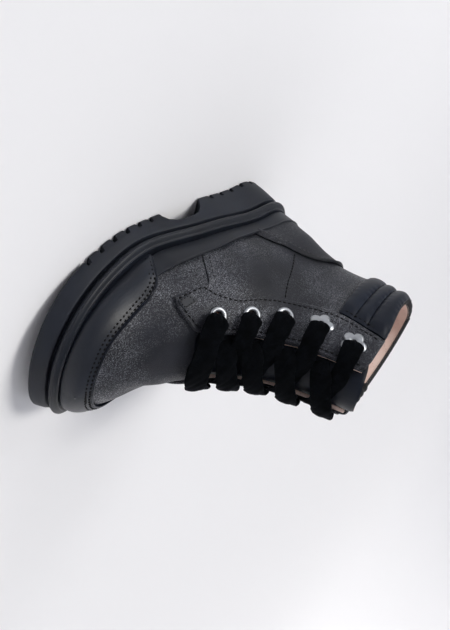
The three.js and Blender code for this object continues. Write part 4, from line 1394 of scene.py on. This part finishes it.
class BOOT_OT_laces(bpy.types.Operator):
    """Laces the boot with velvet ribbons"""

    bl_idname = "boot.laces"
    bl_label = "Laces"

    def execute(self, context):
        make_laces()
        return {"FINISHED"}


class BOOT_OT_sole(bpy.types.Operator):
    """Makes the outsole, the rib, the rand and the insole"""

    bl_idname = "boot.sole"
    bl_label = "Sole"

    def execute(self, context):
        make_outsole()
        make_midsole()
        make_rand()
        dress("insole", "lining")
        return {"FINISHED"}


class BOOT_OT_upper(bpy.types.Operator):
    """Makes the vamp and the quarters with their lining"""

    bl_idname = "boot.upper"
    bl_label = "Upper"

    def execute(self, context):
        make_quarters()
        make_vamp()
        return {"FINISHED"}


class BOOT_OT_overlays(bpy.types.Operator):
    """Makes the toe cap, the counter, the eyestays and the plain patch"""

    bl_idname = "boot.overlays"
    bl_label = "Overlays"

    def execute(self, context):
        make_toe_cap()
        make_counter()
        make_eyestay(False)
        make_eyestay(True)
        make_patch()
        return {"FINISHED"}


class BOOT_OT_collar(bpy.types.Operator):
    """Makes the padded collar, its binding and the tongue"""

    bl_idname = "boot.collar"
    bl_label = "Collar and tongue"

    def execute(self, context):
        make_collar()
        make_binding()
        make_tongue()
        return {"FINISHED"}


class BOOT_OT_fastenings(bpy.types.Operator):
    """Makes the eyelets and the zip"""

    bl_idname = "boot.fastenings"
    bl_label = "Eyelets and zip"

    def execute(self, context):
        make_eyelets()
        make_zip()
        return {"FINISHED"}


class BOOT_OT_stitches(bpy.types.Operator):
    """Sews the seams"""

    bl_idname = "boot.stitches"
    bl_label = "Stitches"

    def execute(self, context):
        make_stitches()
        return {"FINISHED"}


class BOOT_OT_stage(bpy.types.Operator):
    """Makes the floor and the lights"""

    bl_idname = "boot.stage"
    bl_label = "Stage"

    def execute(self, context):
        make_stage()
        return {"FINISHED"}


STEPS = (BOOT_OT_camera, BOOT_OT_laces, BOOT_OT_sole, BOOT_OT_upper, BOOT_OT_overlays, BOOT_OT_collar,
         BOOT_OT_fastenings, BOOT_OT_stitches, BOOT_OT_stage)


class BOOT_PT_panel(bpy.types.Panel):
    """Lists the steps and the sizes"""

    bl_label = "Biker boot"
    bl_idname = "BOOT_PT_panel"
    bl_space_type = "VIEW_3D"
    bl_region_type = "UI"
    bl_category = "Boot"

    def draw(self, context):
        for step in STEPS:
            self.layout.operator(step.bl_idname)
        for group in (context.scene.boot_sizes, context.scene.boot_colours):
            for key in group.__annotations__:
                self.layout.prop(group, key)


CLASSES = (BootSizes, BootColours, *STEPS, BOOT_PT_panel)


def register():
    for kind in CLASSES:
        bpy.utils.register_class(kind)
    bpy.types.Scene.boot_sizes = bpy.props.PointerProperty(type=BootSizes)
    bpy.types.Scene.boot_colours = bpy.props.PointerProperty(type=BootColours)


def unregister():
    del bpy.types.Scene.boot_colours
    del bpy.types.Scene.boot_sizes
    for kind in reversed(CLASSES):
        bpy.utils.unregister_class(kind)


def main():
    register()
    bpy.ops.boot.camera()
    bpy.ops.boot.laces()
    bpy.ops.boot.sole()
    bpy.ops.boot.upper()
    bpy.ops.boot.overlays()
    bpy.ops.boot.collar()
    bpy.ops.boot.fastenings()
    bpy.ops.boot.stitches()
    bpy.ops.boot.stage()


if __name__ == "__main__":
    main()
